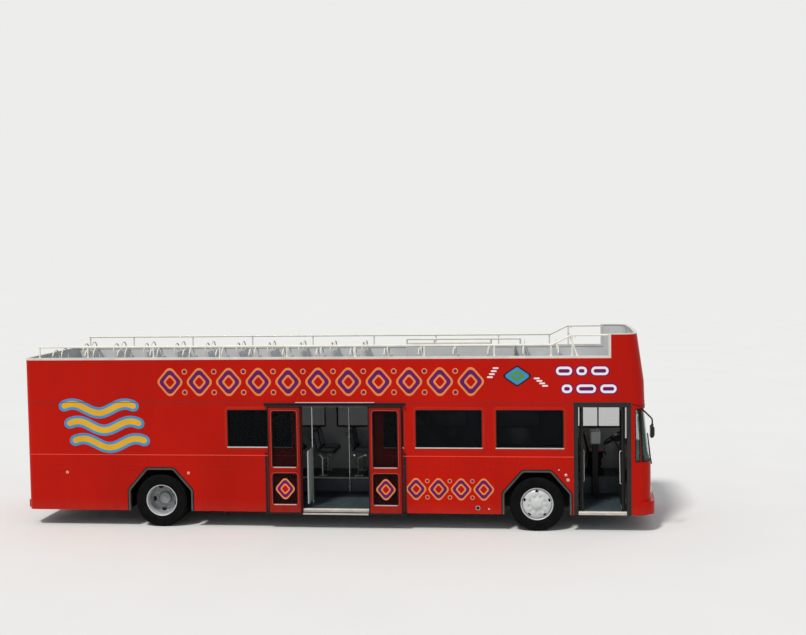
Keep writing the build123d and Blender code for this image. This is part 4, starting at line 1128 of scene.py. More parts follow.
def rear_wheels(side, word):
    """Twin wheels: the outer disc is dished inwards, with a hub that ends inside the dish."""
    body = "rear_wheels_" + word
    centre = Vector((rear_x, side * rear_wheel_y, tyre_radius))
    low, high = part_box("rear_tyres_" + word)
    spread = (high.y - low.y) / 2 - tyre_half_width
    middles = [centre + Vector((0, shift, 0)) for shift in (-spread, spread)]
    tyres("tyres_rear_" + word, body, "rear_tyres_" + word, middles)

    face = [(spread - 0.02, 0.2775), *rear_dish]
    back = [(along - 0.010, radius + 0.002) for along, radius in reversed(face)]
    disc = Shape()
    disc.lathe(centre, face + back, side, 96, closed=True)
    # The dished disc takes the darker grey of brake dust and painted shade.
    made = disc.piece("wheel_disc_rear_" + word, body, wheel_grey_dust_and_shade, 40)
    cut_holes(made, centre, 0.225, 0.033, 1.5, math.radians(-97))

    shape = Shape()
    for middle in middles:
        shape.lathe(middle, rim_profile, side, 96, closed=True)
    shape.look = 1
    inner = [(-along - 0.0005, radius) for along, radius in face]
    inner_back = [(along - 0.012, radius - 0.003) for along, radius in reversed(inner)]
    shape.lathe(centre, inner + inner_back, side, 72, closed=True)
    shape.look = 0
    ring_of_nuts(shape, centre, side, 0.0, 0.017, 0.030)
    shape.look = 2
    shape.lathe(centre, rear_hub, side, 48)
    ring_of_nuts(shape, centre, side, 0.100, 0.008, 0.008, 8, 0.078, 0.0)
    shape.look = 1
    shape.lathe(centre, rear_drum, side, 48, closed=True)
    looks = [wheel_silver, dark_metal, wheel_grey_dust_and_shade]
    made = shape.piece("wheel_rims_rear_" + word, body, looks, 40)
    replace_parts(made, "rear_wheels_" + word)


for side, word in sides.items():
    front_wheel(side, word)
    rear_wheels(side, word)


# Seats

# The sitter's side of a shell, from its front edge up to its top, as (x from the back, level)
shell_profile = [
    (0.452, 0.395), (0.450, 0.418), (0.436, 0.432), (0.380, 0.436), (0.300, 0.430), (0.220, 0.424),
    (0.150, 0.428), (0.112, 0.446), (0.094, 0.480), (0.080, 0.540), (0.062, 0.610), (0.042, 0.690),
    (0.026, 0.750), (0.014, 0.782),
]
first_upright = 6
back_foot_z = 0.45
back_height = 0.34
back_reach = 0.04
shell_gauge = 0.012
shell_curl = 0.030
shell_columns = 9


def seat_shell(shape, x, y, z, width, lift=0.0, grow=0.0):
    """A moulded bucket of one seat; lift raises the cushion and grow lengthens the back."""
    rows = []
    points = [Vector((px, pz + lift + (grow * max(0.0, (pz - back_foot_z) / back_height))))
              for px, pz in shell_profile]
    for index, point in enumerate(points):
        before = points[max(index - 1, 0)]
        after = points[min(index + 1, len(points) - 1)]
        along = (after - before).normalized()
        normal = Vector((along.y, -along.x))
        if (normal.y if index < first_upright else normal.x) < 0:
            normal = -normal
        top = index / (len(points) - 1)
        narrow = 1 - 0.10 * max(0.0, top - 0.8) / 0.2
        front_row = []
        rear_row = []
        for column in range(shell_columns):
            share = 2 * column / (shell_columns - 1) - 1
            edge = shell_curl * abs(share) ** 3 * (1 if index > 1 else 0.3)
            here = point + normal * edge
            side_y = y + share * width / 2 * narrow
            rear = here - normal * shell_gauge
            front_row.append((x + here.x, side_y, z + here.y))
            rear_row.append((x + rear.x, side_y, z + rear.y))
        rows.append(front_row + list(reversed(rear_row)))
    shape.grid(rows, caps=True)


def seat_stand(shape, x, y0, y1, z, cushion):
    """Two pressed legs with feet and two cross beams under a double seat."""
    beam_z = z + cushion - 0.045
    shape.boxes(0, 0.004,
                (x + 0.13, x + 0.17, y0 + 0.03, y1 - 0.03, beam_z - 0.02, beam_z + 0.02),
                (x + 0.36, x + 0.39, y0 + 0.03, y1 - 0.03, beam_z - 0.02, beam_z + 0.012))
    for y in (y0 + 0.13, y1 - 0.13):
        shape.rod([(x + 0.20, y, z + 0.012), (x + 0.20, y, beam_z - 0.08), (x + 0.15, y, beam_z)], 0.019, 8)
        shape.rod([(x + 0.20, y, beam_z - 0.10), (x + 0.37, y, beam_z)], 0.014, 8)
        shape.box(x + 0.13, x + 0.30, y - 0.035, y + 0.035, z, z + 0.012)
        for bolt_x in (x + 0.15, x + 0.28):
            shape.box(bolt_x - 0.008, bolt_x + 0.008, y - 0.008, y + 0.008, z + 0.011, z + 0.020, 0.002)


def upper_seats():
    """Double seats of two shells on a stand, and a tube handle over each back."""
    shells = Shape()
    stands = Shape()
    handles = Shape()
    for low, high in boxes_of("upper_seats"):
        x = low.x + back_reach
        quarter = (high.y - low.y) / 4
        for y in (low.y + quarter, high.y - quarter):
            seat_shell(shells, x, y, deck_z, 0.405)
        seat_stand(stands, x, low.y, high.y, deck_z, cushion_z)
    for low, high in boxes_of("seat_handles"):
        x, y = (low.x + high.x) / 2, (low.y + high.y) / 2
        tube = (high.x - low.x) / 2
        radius = (high.y - low.y) / 2 - tube
        arch = arc_points((x, y, low.z), radius, high.z - low.z - tube, 180, 0, 16)
        feet = [(x + 0.036, y + side * radius * 0.985, low.z - 0.130) for side in (-1, 1)]
        handles.rod([feet[0], *arch, feet[1]], tube, 8)
    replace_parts(shells.piece("upper_seat_shells", "body", shell_grey, 50), "upper_seats")
    stands.piece("upper_seat_stands", "body", steel)
    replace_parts(handles.piece("upper_seat_handles", "body", cream, 60), "seat_handles")


def pad_form(deep, half_width, high, radius):
    """A rounded block to start a pad from, as a mesh object."""
    mesh = bpy.data.meshes.new("pad_form")
    work = bmesh.new()
    bmesh.ops.create_cube(work, size=1.0)
    for vertex in work.verts:
        x, y, z = vertex.co
        vertex.co = Vector((0.0 if x < 0 else deep, -half_width if y < 0 else half_width,
                            0.0 if z < 0 else high))
    bmesh.ops.bevel(work, geom=work.edges[:], offset=radius, segments=3, affect="EDGES", profile=0.5)
    work.to_mesh(mesh)
    work.free()
    return linked("pad_form", mesh)


def puffed(form, voxel, pressure, furthest):
    """The mesh of a pad after a short cloth simulation with inner pressure."""
    remesh = form.modifiers.new("Remesh", "REMESH")
    remesh.mode = "VOXEL"
    remesh.voxel_size = voxel
    mesh = baked(form)
    start = [vertex.co.copy() for vertex in mesh.vertices]
    cloth = form.modifiers.new("Cloth", "CLOTH")
    cloth.settings.use_pressure = True
    cloth.settings.uniform_pressure_force = pressure
    cloth.settings.effector_weights.gravity = 0
    for step in range(1, 21):
        bpy.context.scene.frame_set(step)
    mesh = baked(form)
    for vertex, first in zip(mesh.vertices, start):
        shift = vertex.co - first
        if shift.length > furthest:
            vertex.co = first + shift.normalized() * furthest
    bpy.context.scene.frame_set(1)
    bpy.data.objects.remove(form)
    return mesh


# How pads are puffed: voxel size, inner pressure, furthest shift and depth of the seams
passenger_puff = (0.012, 4.0, 0.007, 0.004)
driver_puff = (0.010, 5.0, 0.010, 0.005)
seam_width = 0.014


def pad_mesh(deep, half_width, high, radius, puff, seams):
    """A puffed pad with seams pressed into it, each as (axis, place along it)."""
    voxel, pressure, furthest, depth = puff
    mesh = puffed(pad_form(deep, half_width, high, radius), voxel, pressure, furthest)
    for vertex in mesh.vertices:
        for axis, value in seams:
            gap = abs(vertex.co[axis] - value)
            if gap < seam_width:
                vertex.co -= vertex.normal * depth * (1 - (gap / seam_width) ** 2)
    return mesh


def pad_piece(name, mesh, place, look, tilt):
    """A padded piece made from a shared pad mesh, set in its place."""
    own = mesh.copy()
    own.transform(Matrix.Translation(place) @ Matrix.Rotation(tilt, 4, "Y"))
    own.materials.clear()
    own.materials.append(look)
    own.polygons.foreach_set("use_smooth", [True] * len(own.polygons))
    made = linked(name, own)
    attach(made, "body")


# Places on a shell, from its back and its floor
cushion_z = 0.430
cushion_lie = -0.02
back_pad_x = 0.098
back_pad_z = 0.485
back_lean = -0.21


def lower_seats():
    """Double seats with two padded buckets each and a steel handle along the back."""
    shells = Shape()
    stands = Shape()
    cushion = pad_mesh(0.31, 0.195, 0.028, 0.012, passenger_puff, [(0, 0.10), (0, 0.20)])
    back = pad_mesh(0.026, 0.185, 0.34, 0.011, passenger_puff, [(2, 0.12), (2, 0.23)])
    for number, (low, high) in enumerate(boxes_of("lower_seats"), 1):
        x = low.x + back_reach
        lift = high.z - low.z - 0.90 + (0.05 if low.z > 0.5 else 0.02)
        quarter = (high.y - low.y) / 4
        for share, letter in ((1, "a"), (3, "b")):
            y = low.y + quarter * share
            seat_shell(shells, x, y, low.z, 0.415, lift, 0.06)
            pad_piece(f"seat_cushion_{number}{letter}", cushion,
                      Vector((x + 0.125, y, low.z + cushion_z + 0.002 + lift)), moquette, cushion_lie)
            pad_piece(f"seat_back_pad_{number}{letter}", back,
                      Vector((x + back_pad_x, y, low.z + back_pad_z + lift)), moquette, back_lean)
        top = high.z - 0.035
        shells.look = 1
        shells.rod([(x + 0.005, low.y + 0.06, top - 0.06), (x - 0.012, low.y + 0.08, top),
                    (x - 0.012, high.y - 0.08, top), (x + 0.005, high.y - 0.06, top - 0.06)], 0.0125, 8)
        shells.look = 0
        seat_stand(stands, x, low.y, high.y, low.z, cushion_z + lift)
    made = shells.piece("lower_seat_shells", "body", [shell_dark, steel], 50)
    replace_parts(made, "lower_seats")
    stands.piece("lower_seat_stands", "body", steel)


def driver_seat():
    """The driver's bucket on a bellows pedestal, with its two pads."""
    low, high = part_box("driver_seat")
    x, y, z = low.x + back_reach, (low.y + high.y) / 2, low.z
    shape = Shape()
    seat_shell(shape, x, y, z, 0.47, 0.0, 0.03)
    shape.boxes(1, 0.01, (x + 0.08, x + 0.40, y - 0.17, y + 0.17, z + 0.33, z + 0.40))
    for step in range(5):
        inset = 0.012 if step % 2 else 0.0
        shape.box(x + 0.11 + inset, x + 0.37 - inset, y - 0.14 + inset, y + 0.14 - inset,
                  z + 0.05 + step * 0.056, z + 0.106 + step * 0.056, 0.014)
    shape.box(x + 0.06, x + 0.42, y - 0.18, y + 0.18, z, z + 0.05, 0.008)
    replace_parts(shape.piece("driver_seat_base", "body", [black, rubber], 40), "driver_seat")
    cushion = pad_mesh(0.32, 0.205, 0.035, 0.016, driver_puff, [(1, -0.12), (1, 0.12), (0, 0.22)])
    place = Vector((x + 0.118, y, z + cushion_z + 0.002))
    pad_piece("driver_cushion", cushion, place, driver_cloth, cushion_lie)
    back = pad_mesh(0.034, 0.195, 0.30, 0.014, driver_puff, [(1, -0.11), (1, 0.11), (2, 0.20)])
    place = Vector((x + back_pad_x, y, z + back_pad_z))
    pad_piece("driver_back_pad", back, place, driver_cloth, back_lean)


def steering_wheel():
    """A padded rim on three spokes with a flat hub, tilted towards the driver."""
    low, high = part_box("steering_wheel")
    hub = (low + high) / 2
    tilt = math.radians(35)
    across = Vector((0, 1, 0))
    up = Vector((math.cos(tilt), 0, math.sin(tilt)))
    axis = Vector((-math.sin(tilt), 0, math.cos(tilt)))
    radius = (high.y - low.y) / 2 - 0.016

    def around(turn, size):
        return (across * math.cos(turn) + up * math.sin(turn)) * size

    wheel = Shape()
    wheel.rod([hub + around(turn, radius) for turn in turns(48)], 0.0155, 12, True)
    for turn in (0.5, math.pi - 0.5, 1.5 * math.pi):
        tip = hub + around(turn, radius)
        start = hub + (tip - hub) * 0.2 - axis * 0.006
        wheel.rod([start, start + (tip - start) * 0.5 - axis * 0.004, tip], [0.014, 0.011, 0.011], 8)
    profile = [(0.0, 0.020), (0.036, 0.019), (0.045, 0.010), (0.045, -0.018), (0.0, -0.019)]
    wheel.grid([[hub + axis * lift + around(turn, size) for turn in turns(24)] for size, lift in profile])
    made = wheel.piece("steering_wheel_rim", "steering_wheel", black, 40)
    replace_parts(made, "steering_wheel")


def dial(shape, centre, size):
    """A round instrument that looks back at the driver, with a bezel, marks and a needle."""
    def at(forward, y, z):
        return centre + Vector((forward, y, z))

    def rim(forward, radius, turn):
        return at(forward, radius * math.cos(turn), radius * math.sin(turn))

    profile = [(size, 0.0), (size, 0.006), (size * 0.9, 0.006), (size * 0.88, 0.002), (0.0, 0.002)]
    shape.look = 1
    shape.grid([[rim(-lift, radius, turn) for turn in turns(24)] for radius, lift in profile])
    shape.look = 2
    for mark in range(9):
        turn = math.radians(220 - mark * 32.5)
        shape.rod([rim(-0.004, size * share, turn) for share in (0.66, 0.82)], 0.0014, 4)
    shape.rod([at(-0.005, 0, 0), at(-0.005, size * 0.5, size * 0.4)], 0.0016, 4)


def dials():
    """An instrument hood on the dash with three plain dials, and a row of switches."""
    low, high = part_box("dashboard")
    x0, top = low.x, high.z
    y = middle_of("steering_wheel").y
    shape = Shape()
    shape.box(x0 + 0.02, x0 + 0.16, y - 0.26, y + 0.26, top - 0.03, top + 0.075, 0.02)
    for shift, size in ((-0.16, 0.042), (0.0, 0.058), (0.16, 0.042)):
        dial(shape, Vector((x0 + 0.020, y + shift, top + 0.028)), size)
    shape.look = 0
    for index in range(7):
        y0 = y - 0.25 + index * 0.075
        shape.box(x0 - 0.006, x0 + 0.004, y0, y0 + 0.04, top - 0.10, top - 0.065)
    shape.piece("dash_dials", "body", [black, cabin_dark, white_print], 40)


def fare_box():
    """A fare machine on a post, with a screen and a slot."""
    low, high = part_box("fare_box")
    x, y = (low.x + high.x) / 2, (low.y + high.y) / 2
    top = high.z
    shape = Shape()
    shape.box(x - 0.060, x + 0.060, y - 0.060, y + 0.060, low.z, top - 0.25, 0.006)
    shape.box(x - 0.085, x + 0.085, y - 0.085, y + 0.085, low.z, low.z + 0.02, 0.005)
    shape.boxes(1, 0.022, (low.x, high.x, low.y, high.y, top - 0.26, top))
    shape.boxes(0, 0.001,
                (low.x - 0.0015, low.x + 0.004, y - 0.06, y + 0.06, top - 0.20, top - 0.08),
                (x - 0.03, x + 0.03, y - 0.07, y + 0.07, top - 0.004, top - 0.0005))
    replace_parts(shape.piece("fare_machine", "body", [black, grey_lining], 40), "fare_box")


upper_seats()
lower_seats()
driver_seat()
steering_wheel()
dials()
fare_box()


# Upper deck fittings

widest_single_foot = 0.05
guard_band_z0 = 3.245
guard_band_z1 = 3.335


def rail_details():
    """Flanges under the rail posts and a cap in each post's top."""
    shape = Shape()
    profile = [(0.024, 0.0), (0.024, 0.005), (0.020, 0.008), (0.015, 0.009), (0.0145, 0.03)]
    for points in solids_of("rail_posts"):
        feet = [point for point in points if point.z < cap_z + 0.002]
        x = sum(point.x for point in feet) / len(feet)
        y = sum(point.y for point in feet) / len(feet)
        spans = [x]
        if max(p.x for p in feet) - min(p.x for p in feet) > widest_single_foot:
            spans = [min(p.x for p in feet) + 0.014, max(p.x for p in feet) - 0.018]
        for foot_x in spans:
            shape.grid([[(foot_x + radius * 1.25 * math.cos(a), y + radius * 0.95 * math.sin(a), cap_z + lift)
                         for a in turns(20)] for radius, lift in profile])
        top = max(point.z for point in points)
        shape.rod([(x, y, top - 0.03), (x, y, top - 0.003)], 0.0175, 12)
    shape.piece("rail_flanges", "body", cream, 40)


def guard_cap():
    """The pale top band, foot strip and round feet of the stair guard."""
    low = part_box("stair_guard")[0]
    panel_x1 = front_x - 0.86
    y = low.y + 0.007
    shape = Shape()
    shape.box(low.x, panel_x1, y - 0.004, y + 0.030, guard_band_z0, guard_band_z1, 0.008)
    bead_z = guard_band_z0 - 0.025
    shape.rod([(low.x + 0.02, y + 0.012, bead_z), (panel_x1 - 0.02, y + 0.012, bead_z)], 0.012, 10)
    shape.box(low.x, panel_x1, y - 0.002, y + 0.026, deck_z, deck_z + 0.05, 0.004)
    for x in (low.x + 0.017, low.x + 0.56, panel_x1 - 0.017):
        shape.rod([(x, low.y + 0.017, deck_z), (x, low.y + 0.017, deck_z + 0.012)], 0.032, 16)
    shape.piece("stair_guard_cap", "body", cream, 40)


def deck_skirting():
    """A rubber bead along the foot of the upper deck's walls."""
    low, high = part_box("upper_floor")
    x0, x1 = low.x - 0.004, front_x + 1.45
    side_y = high.y + 0.004
    path = rounded([(x1, -side_y), (x0, -side_y), (x0, side_y), (x1, side_y)], 0.15, closed=False)
    shape = Shape()
    shape.rod([(x, y, deck_z + 0.010) for x, y in path], 0.019, 8)
    shape.piece("deck_skirting", "body", rubber)


stair_treads = 8
tread_pitch = 0.230
aisle_x0 = -2.0
platform_y = 0.322
platform_z = 0.662


def floor_strips():
    """Step nosings, ribbed strips in both aisles and the edge angle of the lower platform."""
    shape = Shape()
    low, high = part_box("stairs")
    rise = (deck_z - floor_z) / (stair_treads + 1)
    for step in range(stair_treads):
        x = high.x - step * tread_pitch
        z = floor_z + (step + 1) * rise
        shape.box(x - 0.035, x + 0.003, low.y + 0.005, high.y - 0.005, z - 0.025, z + 0.003, 0.002)
    for index in range(8):
        y = -0.24 + index * 0.06
        shape.boxes(1, 0.001,
                    (rear_face_x + 0.12, front_x + 1.55, y, y + 0.018, deck_z, deck_z + 0.003),
                    (aisle_x0, front_x + 1.4, y, y + 0.018, floor_z, floor_z + 0.003))
    shape.boxes(0, 0.003, (aisle_x0, front_x - 2.65, platform_y, platform_y + 0.012, platform_z - 0.032,
                           platform_z))
    shape.piece("floor_strips", "body", [step_metal, rubber])


rail_details()
guard_cap()
deck_skirting()
floor_strips()


# Front and rear

ray_start_x = 8
ray_start_y = 3
front_skin = surface("front_panel", "windscreen_surround", "front_cowl", "windscreen")


def on_front(y, z, lift=0.0):
    """The point of the front's outer surface at one y and level, lifted off it."""
    place = front_skin.ray_cast(Vector((ray_start_x, y, z)), Vector((-1, 0, 0)))[0]
    return Vector((place.x + lift, y, z))


def front_band(shape, y0, y1, z0, z1, lift, steps=12, edge=0.004):
    """A thin plate bent to the front, between two levels."""
    sides_of_band = [(z0, -0.004), (z0, lift - edge * 0.2), (z0 + edge, lift), (z1 - edge, lift),
                     (z1, lift - edge * 0.2), (z1, -0.004)]
    ys = [y0 + (y1 - y0) * step / steps for step in range(steps + 1)]
    shape.grid([[on_front(y, z, away) for z, away in sides_of_band] for y in ys], caps=True)


glass_skin = surface("windscreen")


def pane_edge(places, z0, z1):
    """Points round a pane: along its foot, up, back along its top and down again."""
    rises = [(z1 - z0) * step / 6 for step in range(1, 6)]
    up = [(place, z0) for place in places] + [(places[-1], z0 + rise) for rise in rises]
    down = [(place, z1) for place in reversed(places)] + [(places[0], z1 - rise) for rise in rises]
    return up + down


def screen_rubber(shape):
    """Rubber seals round the two halves of the windscreen and the two quarter panes."""
    for low, high in boxes_of("windscreen"):
        z0, z1 = low.z + 0.006, high.z - 0.006
        side = -1 if low.y < 0 else 1
        if high.y - low.y > 0.3:
            inner, outer = min(abs(low.y), abs(high.y)) + 0.006, max(abs(low.y), abs(high.y)) - 0.014
            ys = [side * (inner + (outer - inner) * step / 24) for step in range(25)]
            starts = [Vector((ray_start_x, y, z)) for y, z in pane_edge(ys, z0, z1)]
            way = Vector((-1, 0, 0))
        else:
            xs = [low.x + 0.006 + (high.x - low.x - 0.012) * step / 4 for step in range(5)]
            starts = [Vector((x, side * ray_start_y, z)) for x, z in pane_edge(xs, z0, z1)]
            way = Vector((0, -side, 0))
        loop = [glass_skin.ray_cast(start, way)[0] for start in starts]
        shape.rod([point - way * 0.002 for point in loop if point], 0.012, 8, True)


nose_axis_x = 5.40
nose_axis_y = 0.95


def round_corner(side, z, turn, lift=0.0):
    """A point on the nose's skin, seen from the side (turn 0) round to the front (turn 1)."""
    axis = Vector((nose_axis_x, side * nose_axis_y, z))
    way = Vector((-math.sin(turn * math.pi / 2), -side * math.cos(turn * math.pi / 2), 0))
    hit = front_skin.ray_cast(axis - way * 2, way)[0]
    return (hit or axis) - way * lift


def nose_trim(shape):
    """A black rod round each corner and a black band across the front as painted shadow under the upper front
    panel; the black pillars and the screen's middle bar.
    """
    steps = 30
    foot_z = windscreen_base_z + 0.05
    for side in sides:
        # A black rod as painted shadow under the edge of the upper front panel, round the corner.
        levels = [2.372 - 0.066 * min(1, (step / steps) / 0.45) for step in range(steps + 1)]
        shape.rod([round_corner(side, z, step / steps, -0.001) for step, z in enumerate(levels)], 0.008, 8)
        for turn in (0.452, 0.465, 0.478):
            levels = [foot_z + 0.96 * step / 12 for step in range(13)]
            shape.rod([round_corner(side, z, turn, -0.004) for z in levels], 0.013, 8)
    # A black band as painted shadow under the upper front panel, across the front.
    front_band(shape, -0.96, 0.96, 2.300, 2.312, 0.002, 30, 0.002)
    for y in (-0.018, 0.0, 0.018):
        shape.rod([on_front(y, foot_z + 0.97 * step / 12, -0.010) for step in range(13)], 0.016, 8)


def front_details():
    """Windscreen seals, blank sign, grille with ribs, blank plate and panel joints of the front."""
    shape = Shape()
    screen_rubber(shape)
    nose_trim(shape)

    def bands(look, half_width, levels, height, lift, steps=12, edge=0.004):
        shape.look = look
        for z in levels:
            front_band(shape, -half_width, half_width, z, z + height, lift, steps, edge)

    bands(1, 0.62, [2.440], 0.260, 0.012)
    bands(2, 0.64, [2.428, 2.702], 0.012, 0.016)
    bands(0, 0.48, [0.700], 0.320, 0.006)
    bands(1, 0.47, [0.712 + index * 0.034 for index in range(9)], 0.010, 0.022)
    bands(2, 0.50, [0.688, 1.020], 0.012, 0.018)
    bands(3, 0.155, [0.590], 0.100, 0.010, 4)
    bands(4, 1.24, [1.060, seam_z], 0.007, 0.003, 40, 0.002)
    for y in (-0.62, 0.62):
        front_band(shape, y, y + 0.006, 0.585, 1.060, 0.002, 1, 0.002)
    shape.piece("front_details", "body", [rubber, black, chrome, white_plate, joint_line], 40)


def lamp(shape, low, high):
    """One round lamp: a bezel with its reflector, and a domed lens."""
    centre = (low + high) / 2
    radius = (high.z - low.z) / 2
    depth = high.x - low.x
    front = centre.x > 0
    face, ahead = (high.x, 1) if front else (low.x, -1)

    def turned(look, profile):
        shape.look = look
        shape.grid([[(face + ahead * along, centre.y + size * math.cos(a), centre.z + size * math.sin(a))
                     for a in turns(32)] for along, size in profile])

    bezel = [(-depth, 0.0), (-depth, radius), (-0.004, radius), (-0.001, radius * 0.97),
             (0.0, radius * 0.92), (-0.004, radius * 0.86), (-depth * 0.7, radius * 0.30),
             (-depth * 0.75, 0.0)]
    lens = [(-0.006, radius * 0.88), (-0.003, radius * 0.80), (-0.001, radius * 0.5), (0.0, 0.0)]
    rear_look = 3 if 0.85 < centre.z < 0.95 else 2
    turned(0, bezel)
    turned(1 if front else rear_look, lens)


def lamps():
    """Head and tail lamps in place of the plain CAD lamps. The middle rear lamps are amber."""
    shape = Shape()
    for low, high in boxes_of("lamps"):
        lamp(shape, low, high)
    made = shape.piece("lamp_units", "body", [chrome, lamp_clear, lamp_red, lamp_amber], 40)
    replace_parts(made, "lamps")


# Mirror heads, and where their arms reach the roof's edge
mirror_top_z = 1.990
mirror_width = 0.170
mirror_depth = 0.075
mirror_root = (front_x + 1.860, 1.185, 2.283)


def mirrors():
    """Mirror heads with glass, and their bent arms."""
    shape = Shape()
    for points in solids_of("mirrors"):
        side = -1 if points[0].y < 0 else 1
        low, high = (Vector([pick(p[axis] for p in points) for axis in range(3)]) for pick in (min, max))
        outer = high.y if side > 0 else low.y
        y0, y1 = sorted((outer, outer - side * mirror_width))
        x0, x1 = high.x - mirror_depth, high.x

        def outline(inset, radius):
            return rounded_box(y0 + inset, y1 - inset, low.z + inset, mirror_top_z - inset, radius)

        shape.look = 0
        housing = ((x0, 0.010), (x0 + 0.004, 0.002), (x0 + 0.035, 0.0), (x1 - 0.018, 0.012), (x1, 0.040))
        shape.grid([[(x, y, z) for y, z in outline(inset, 0.035)] for x, inset in housing], caps=True)
        shape.look = 1
        glass = outline(0.014, 0.028)
        shape.grid([[(x, y, z) for y, z in glass] for x in (x0 + 0.001, x0 - 0.001)], caps=True)
        shape.look = 0
        x, y = (x0 + x1) / 2, (y0 + y1) / 2
        root_x, root_y, root_z = mirror_root
        shape.rod([(x, y, mirror_top_z - 0.03), (x, y, 2.060), (x - 0.004, y, 2.100),
                   (x - 0.020, y - side * 0.025, 2.124), (root_x, side * root_y, root_z)], 0.0145, 10)
        shape.rod([(x, y, mirror_top_z - 0.004), (x, y, mirror_top_z + 0.028)], 0.022, 14)
    made = shape.piece("mirror_units", "body", [black, mirror_glass], 40)
    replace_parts(made, "mirrors")


wiper_y = 0.900
wiper_z = 1.205


def wipers():
    """Tapered wiper arms with blades lying on the windscreen."""
    shape = Shape()
    for side in sides:
        y = side * wiper_y
        foot = on_front(y, wiper_z, 0.022)
        shape.rod([on_front(y, wiper_z, -0.002), foot + Vector((0.004, 0, 0))], 0.014, 12)
        arm = [foot]
        for step in range(1, 7):
            share = step / 6
            arm_y, z = y + side * 0.115 * share, wiper_z + 0.575 * share
            arm.append(Vector((on_front(arm_y, z).x + 0.030 - 0.006 * share, arm_y, z)))
        shape.rod(arm, [0.012, 0.011, 0.010, 0.009, 0.008, 0.007, 0.006], 8)
        blade = []
        for step in range(9):
            blade_y, z = side * (1.035 - 0.02 * step / 8), 1.36 + 0.42 * step / 8
            blade.append(Vector((on_front(blade_y, z).x + 0.016, blade_y, z)))
        shape.rod(blade, 0.009, 6)
        shape.rod([blade[4], arm[5]], 0.006, 6)
    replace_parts(shape.piece("wiper_arms", "body", black, 50), "wipers")


def engine_door_fittings():
    """Two catches and the blank plate on the engine door."""
    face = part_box("engine_door")[0].x + 0.022
    shape = Shape()
    for y in (-0.72, 0.72):
        shape.box(face - 0.004, face + 0.010, y - 0.04, y + 0.04, 0.60, 0.64, 0.004)
    shape.boxes(1, 0.003, (face - 0.003, face + 0.008, -0.26, 0.26, 0.530, 0.640))
    shape.piece("engine_door_fittings", "engine_door", [chrome, white_plate], 40)


def rear_corner_bead(shape, skin, side, level, radius):
    """A bead at one level round a rear corner, found by rays from outside it."""
    axis = Vector((rear_face_x + 0.30, side * (wall_y - 0.30), level))
    path = []
    for step in range(25):
        turn = math.pi / 2 * step / 24
        way = Vector((math.cos(turn), -side * math.sin(turn), 0))
        hit = skin.ray_cast(axis - way * 2, way)[0]
        if hit:
            path.append(hit)
    shape.rod(path, radius, 8)


def rear_details():
    """Lamp surrounds, reflectors, the high lamp, beads and panel joints at the rear."""
    shape = Shape()
    x = rear_face_x
    for side in sides:
        y0, y1 = sorted((side * 0.99, side * 1.13))
        middle_y, middle_z = (y0 + y1) / 2, 0.9
        outline = rounded_box(y0, y1, 0.690, 1.110, 0.05)
        raised = [(x - 0.006, (y - middle_y) * 0.93 + middle_y, (z - middle_z) * 0.975 + middle_z)
                  for y, z in outline]
        shape.grid([[(x + 0.002, y, z) for y, z in outline], [(x - 0.004, y, z) for y, z in outline], raised],
                   caps=True)
    half_width = wall_y - 0.16
    # The belt strip across the rear and the belt beads round its corners are in the lighter red of a painted
    # highlight.
    shape.boxes(1, 0.003, (x - 0.007, x + 0.002, -half_width, half_width, belt_z - 0.010, belt_z + 0.010))
    skin = surface("rear_wall", "upper_rear_panel")
    for side in sides:
        for look, level, radius in ((1, belt_z, 0.0095), (2, seam_z + 0.012, 0.0035)):
            shape.look = look
            rear_corner_bead(shape, skin, side, level, radius)
    shape.boxes(2, 0.001, (x - 0.002, x + 0.002, -1.12, 1.12, seam_z + 0.007, seam_z + 0.015))
    for y in (-0.43, 0.43):
        shape.box(x - 0.002, x + 0.002, y - 0.002, y + 0.002, belt_z + 0.010, coaming_z, 0.001)
    shape.boxes(0, 0.006, (x - 0.010, x + 0.002, -0.17, 0.17, 2.925, 2.985))
    shape.look = 3
    shape.box(x - 0.016, x - 0.008, -0.155, 0.155, 2.938, 2.972, 0.004)
    for side in sides:
        y0, y1 = sorted((side * 1.00, side * 1.12))
        shape.box(x - 0.012, x + 0.002, y0, y1, 0.560, 0.600, 0.004)
    shape.piece("rear_fittings", "body", [black, red_bead_painted_highlight, joint_line, lamp_red], 40)


front_details()
lamps()
mirrors()
wipers()
engine_door_fittings()
rear_details()


# Stage, light and camera

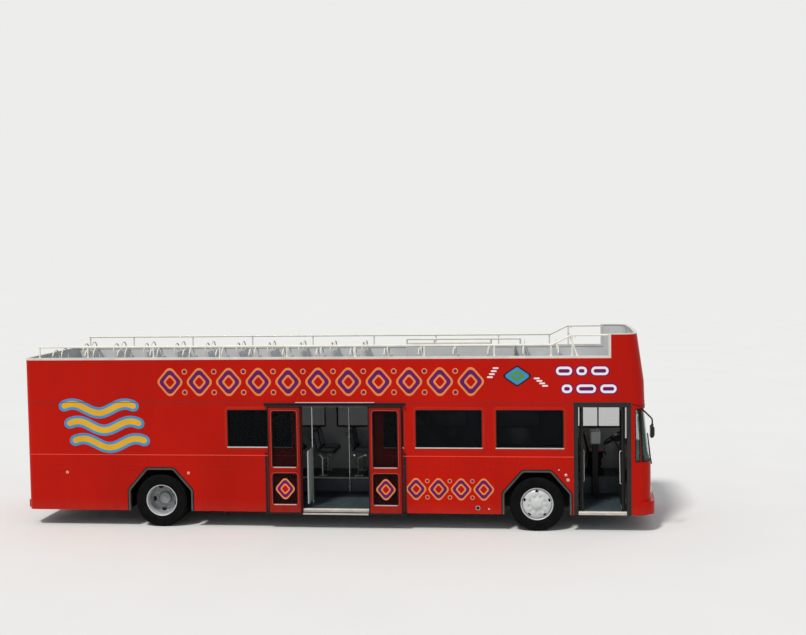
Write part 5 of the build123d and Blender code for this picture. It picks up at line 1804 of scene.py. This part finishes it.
def world_light():
    """Soft light from all round. The camera, mirrors and glass see a paler background."""
    world = bpy.data.worlds.new("studio")
    bpy.context.scene.world = world
    world.use_nodes = True
    nodes = world.node_tree.nodes
    links = world.node_tree.links
    light = nodes["Background"]
    light.inputs["Color"].default_value = (0.93, 0.96, 1.0, 1)
    light.inputs["Strength"].default_value = 0.55
    seen = nodes.new("ShaderNodeBackground")
    seen.inputs["Color"].default_value = (0.845, 0.845, 0.83, 1)
    seen.inputs["Strength"].default_value = 1.0
    path = nodes.new("ShaderNodeLightPath")
    showing = path.outputs["Is Camera Ray"]
    for kind in ("Is Glossy Ray", "Is Transmission Ray"):
        either = nodes.new("ShaderNodeMath")
        either.operation = "MAXIMUM"
        links.new(showing, either.inputs[0])
        links.new(path.outputs[kind], either.inputs[1])
        showing = either.outputs[0]
    mix = nodes.new("ShaderNodeMixShader")
    links.new(showing, mix.inputs[0])
    links.new(light.outputs[0], mix.inputs[1])
    links.new(seen.outputs[0], mix.inputs[2])
    links.new(mix.outputs[0], nodes["World Output"].inputs["Surface"])


def floor_plane():
    mesh = bpy.data.meshes.new("floor")
    size = 150
    corners = [(-size, -size, 0), (size, -size, 0), (size, size, 0), (-size, size, 0)]
    mesh.from_pydata(corners, [], [(0, 1, 2, 3)])
    mesh.materials.append(finish("pale_floor", (0.76, 0.76, 0.75), rough=0.9, specular=0.0, mottle=0.01,
                                 mottle_scale=0.5))
    linked("floor", mesh)


def sunlight():
    """A low, soft sun from the side of the doors."""
    sun = bpy.data.lights.new("sun", "SUN")
    sun.energy = 2.3
    sun.angle = math.radians(9)
    sun.color = (1.0, 0.97, 0.92)
    linked("sun", sun).rotation_euler = Vector((0.30, 0.62, -1.0)).to_track_quat("-Z", "Y").to_euler()


def camera():
    """The photograph's view, worked out from the bus's parallel edges."""
    heading, dip, roll = -0.1144, 0.0589, -0.0150
    ahead = Vector((math.sin(heading) * math.cos(dip), math.cos(heading) * math.cos(dip), -math.sin(dip)))
    level = Vector((math.cos(heading), -math.sin(heading), 0))
    above = level.cross(ahead)
    right = level * math.cos(roll) + above * math.sin(roll)
    up = above * math.cos(roll) - level * math.sin(roll)
    data = bpy.data.cameras.new("camera")
    data.sensor_width = 36
    data.lens = 51.68
    data.clip_end = 400
    made = linked("camera", data)
    turn = Matrix((right, up, -ahead)).transposed().to_4x4()
    made.matrix_world = Matrix.Translation((3.7994, -22.2998, 5.1877)) @ turn
    bpy.context.scene.camera = made


world_light()
floor_plane()
sunlight()
camera()
bpy.context.scene.view_settings.view_transform = "Standard"
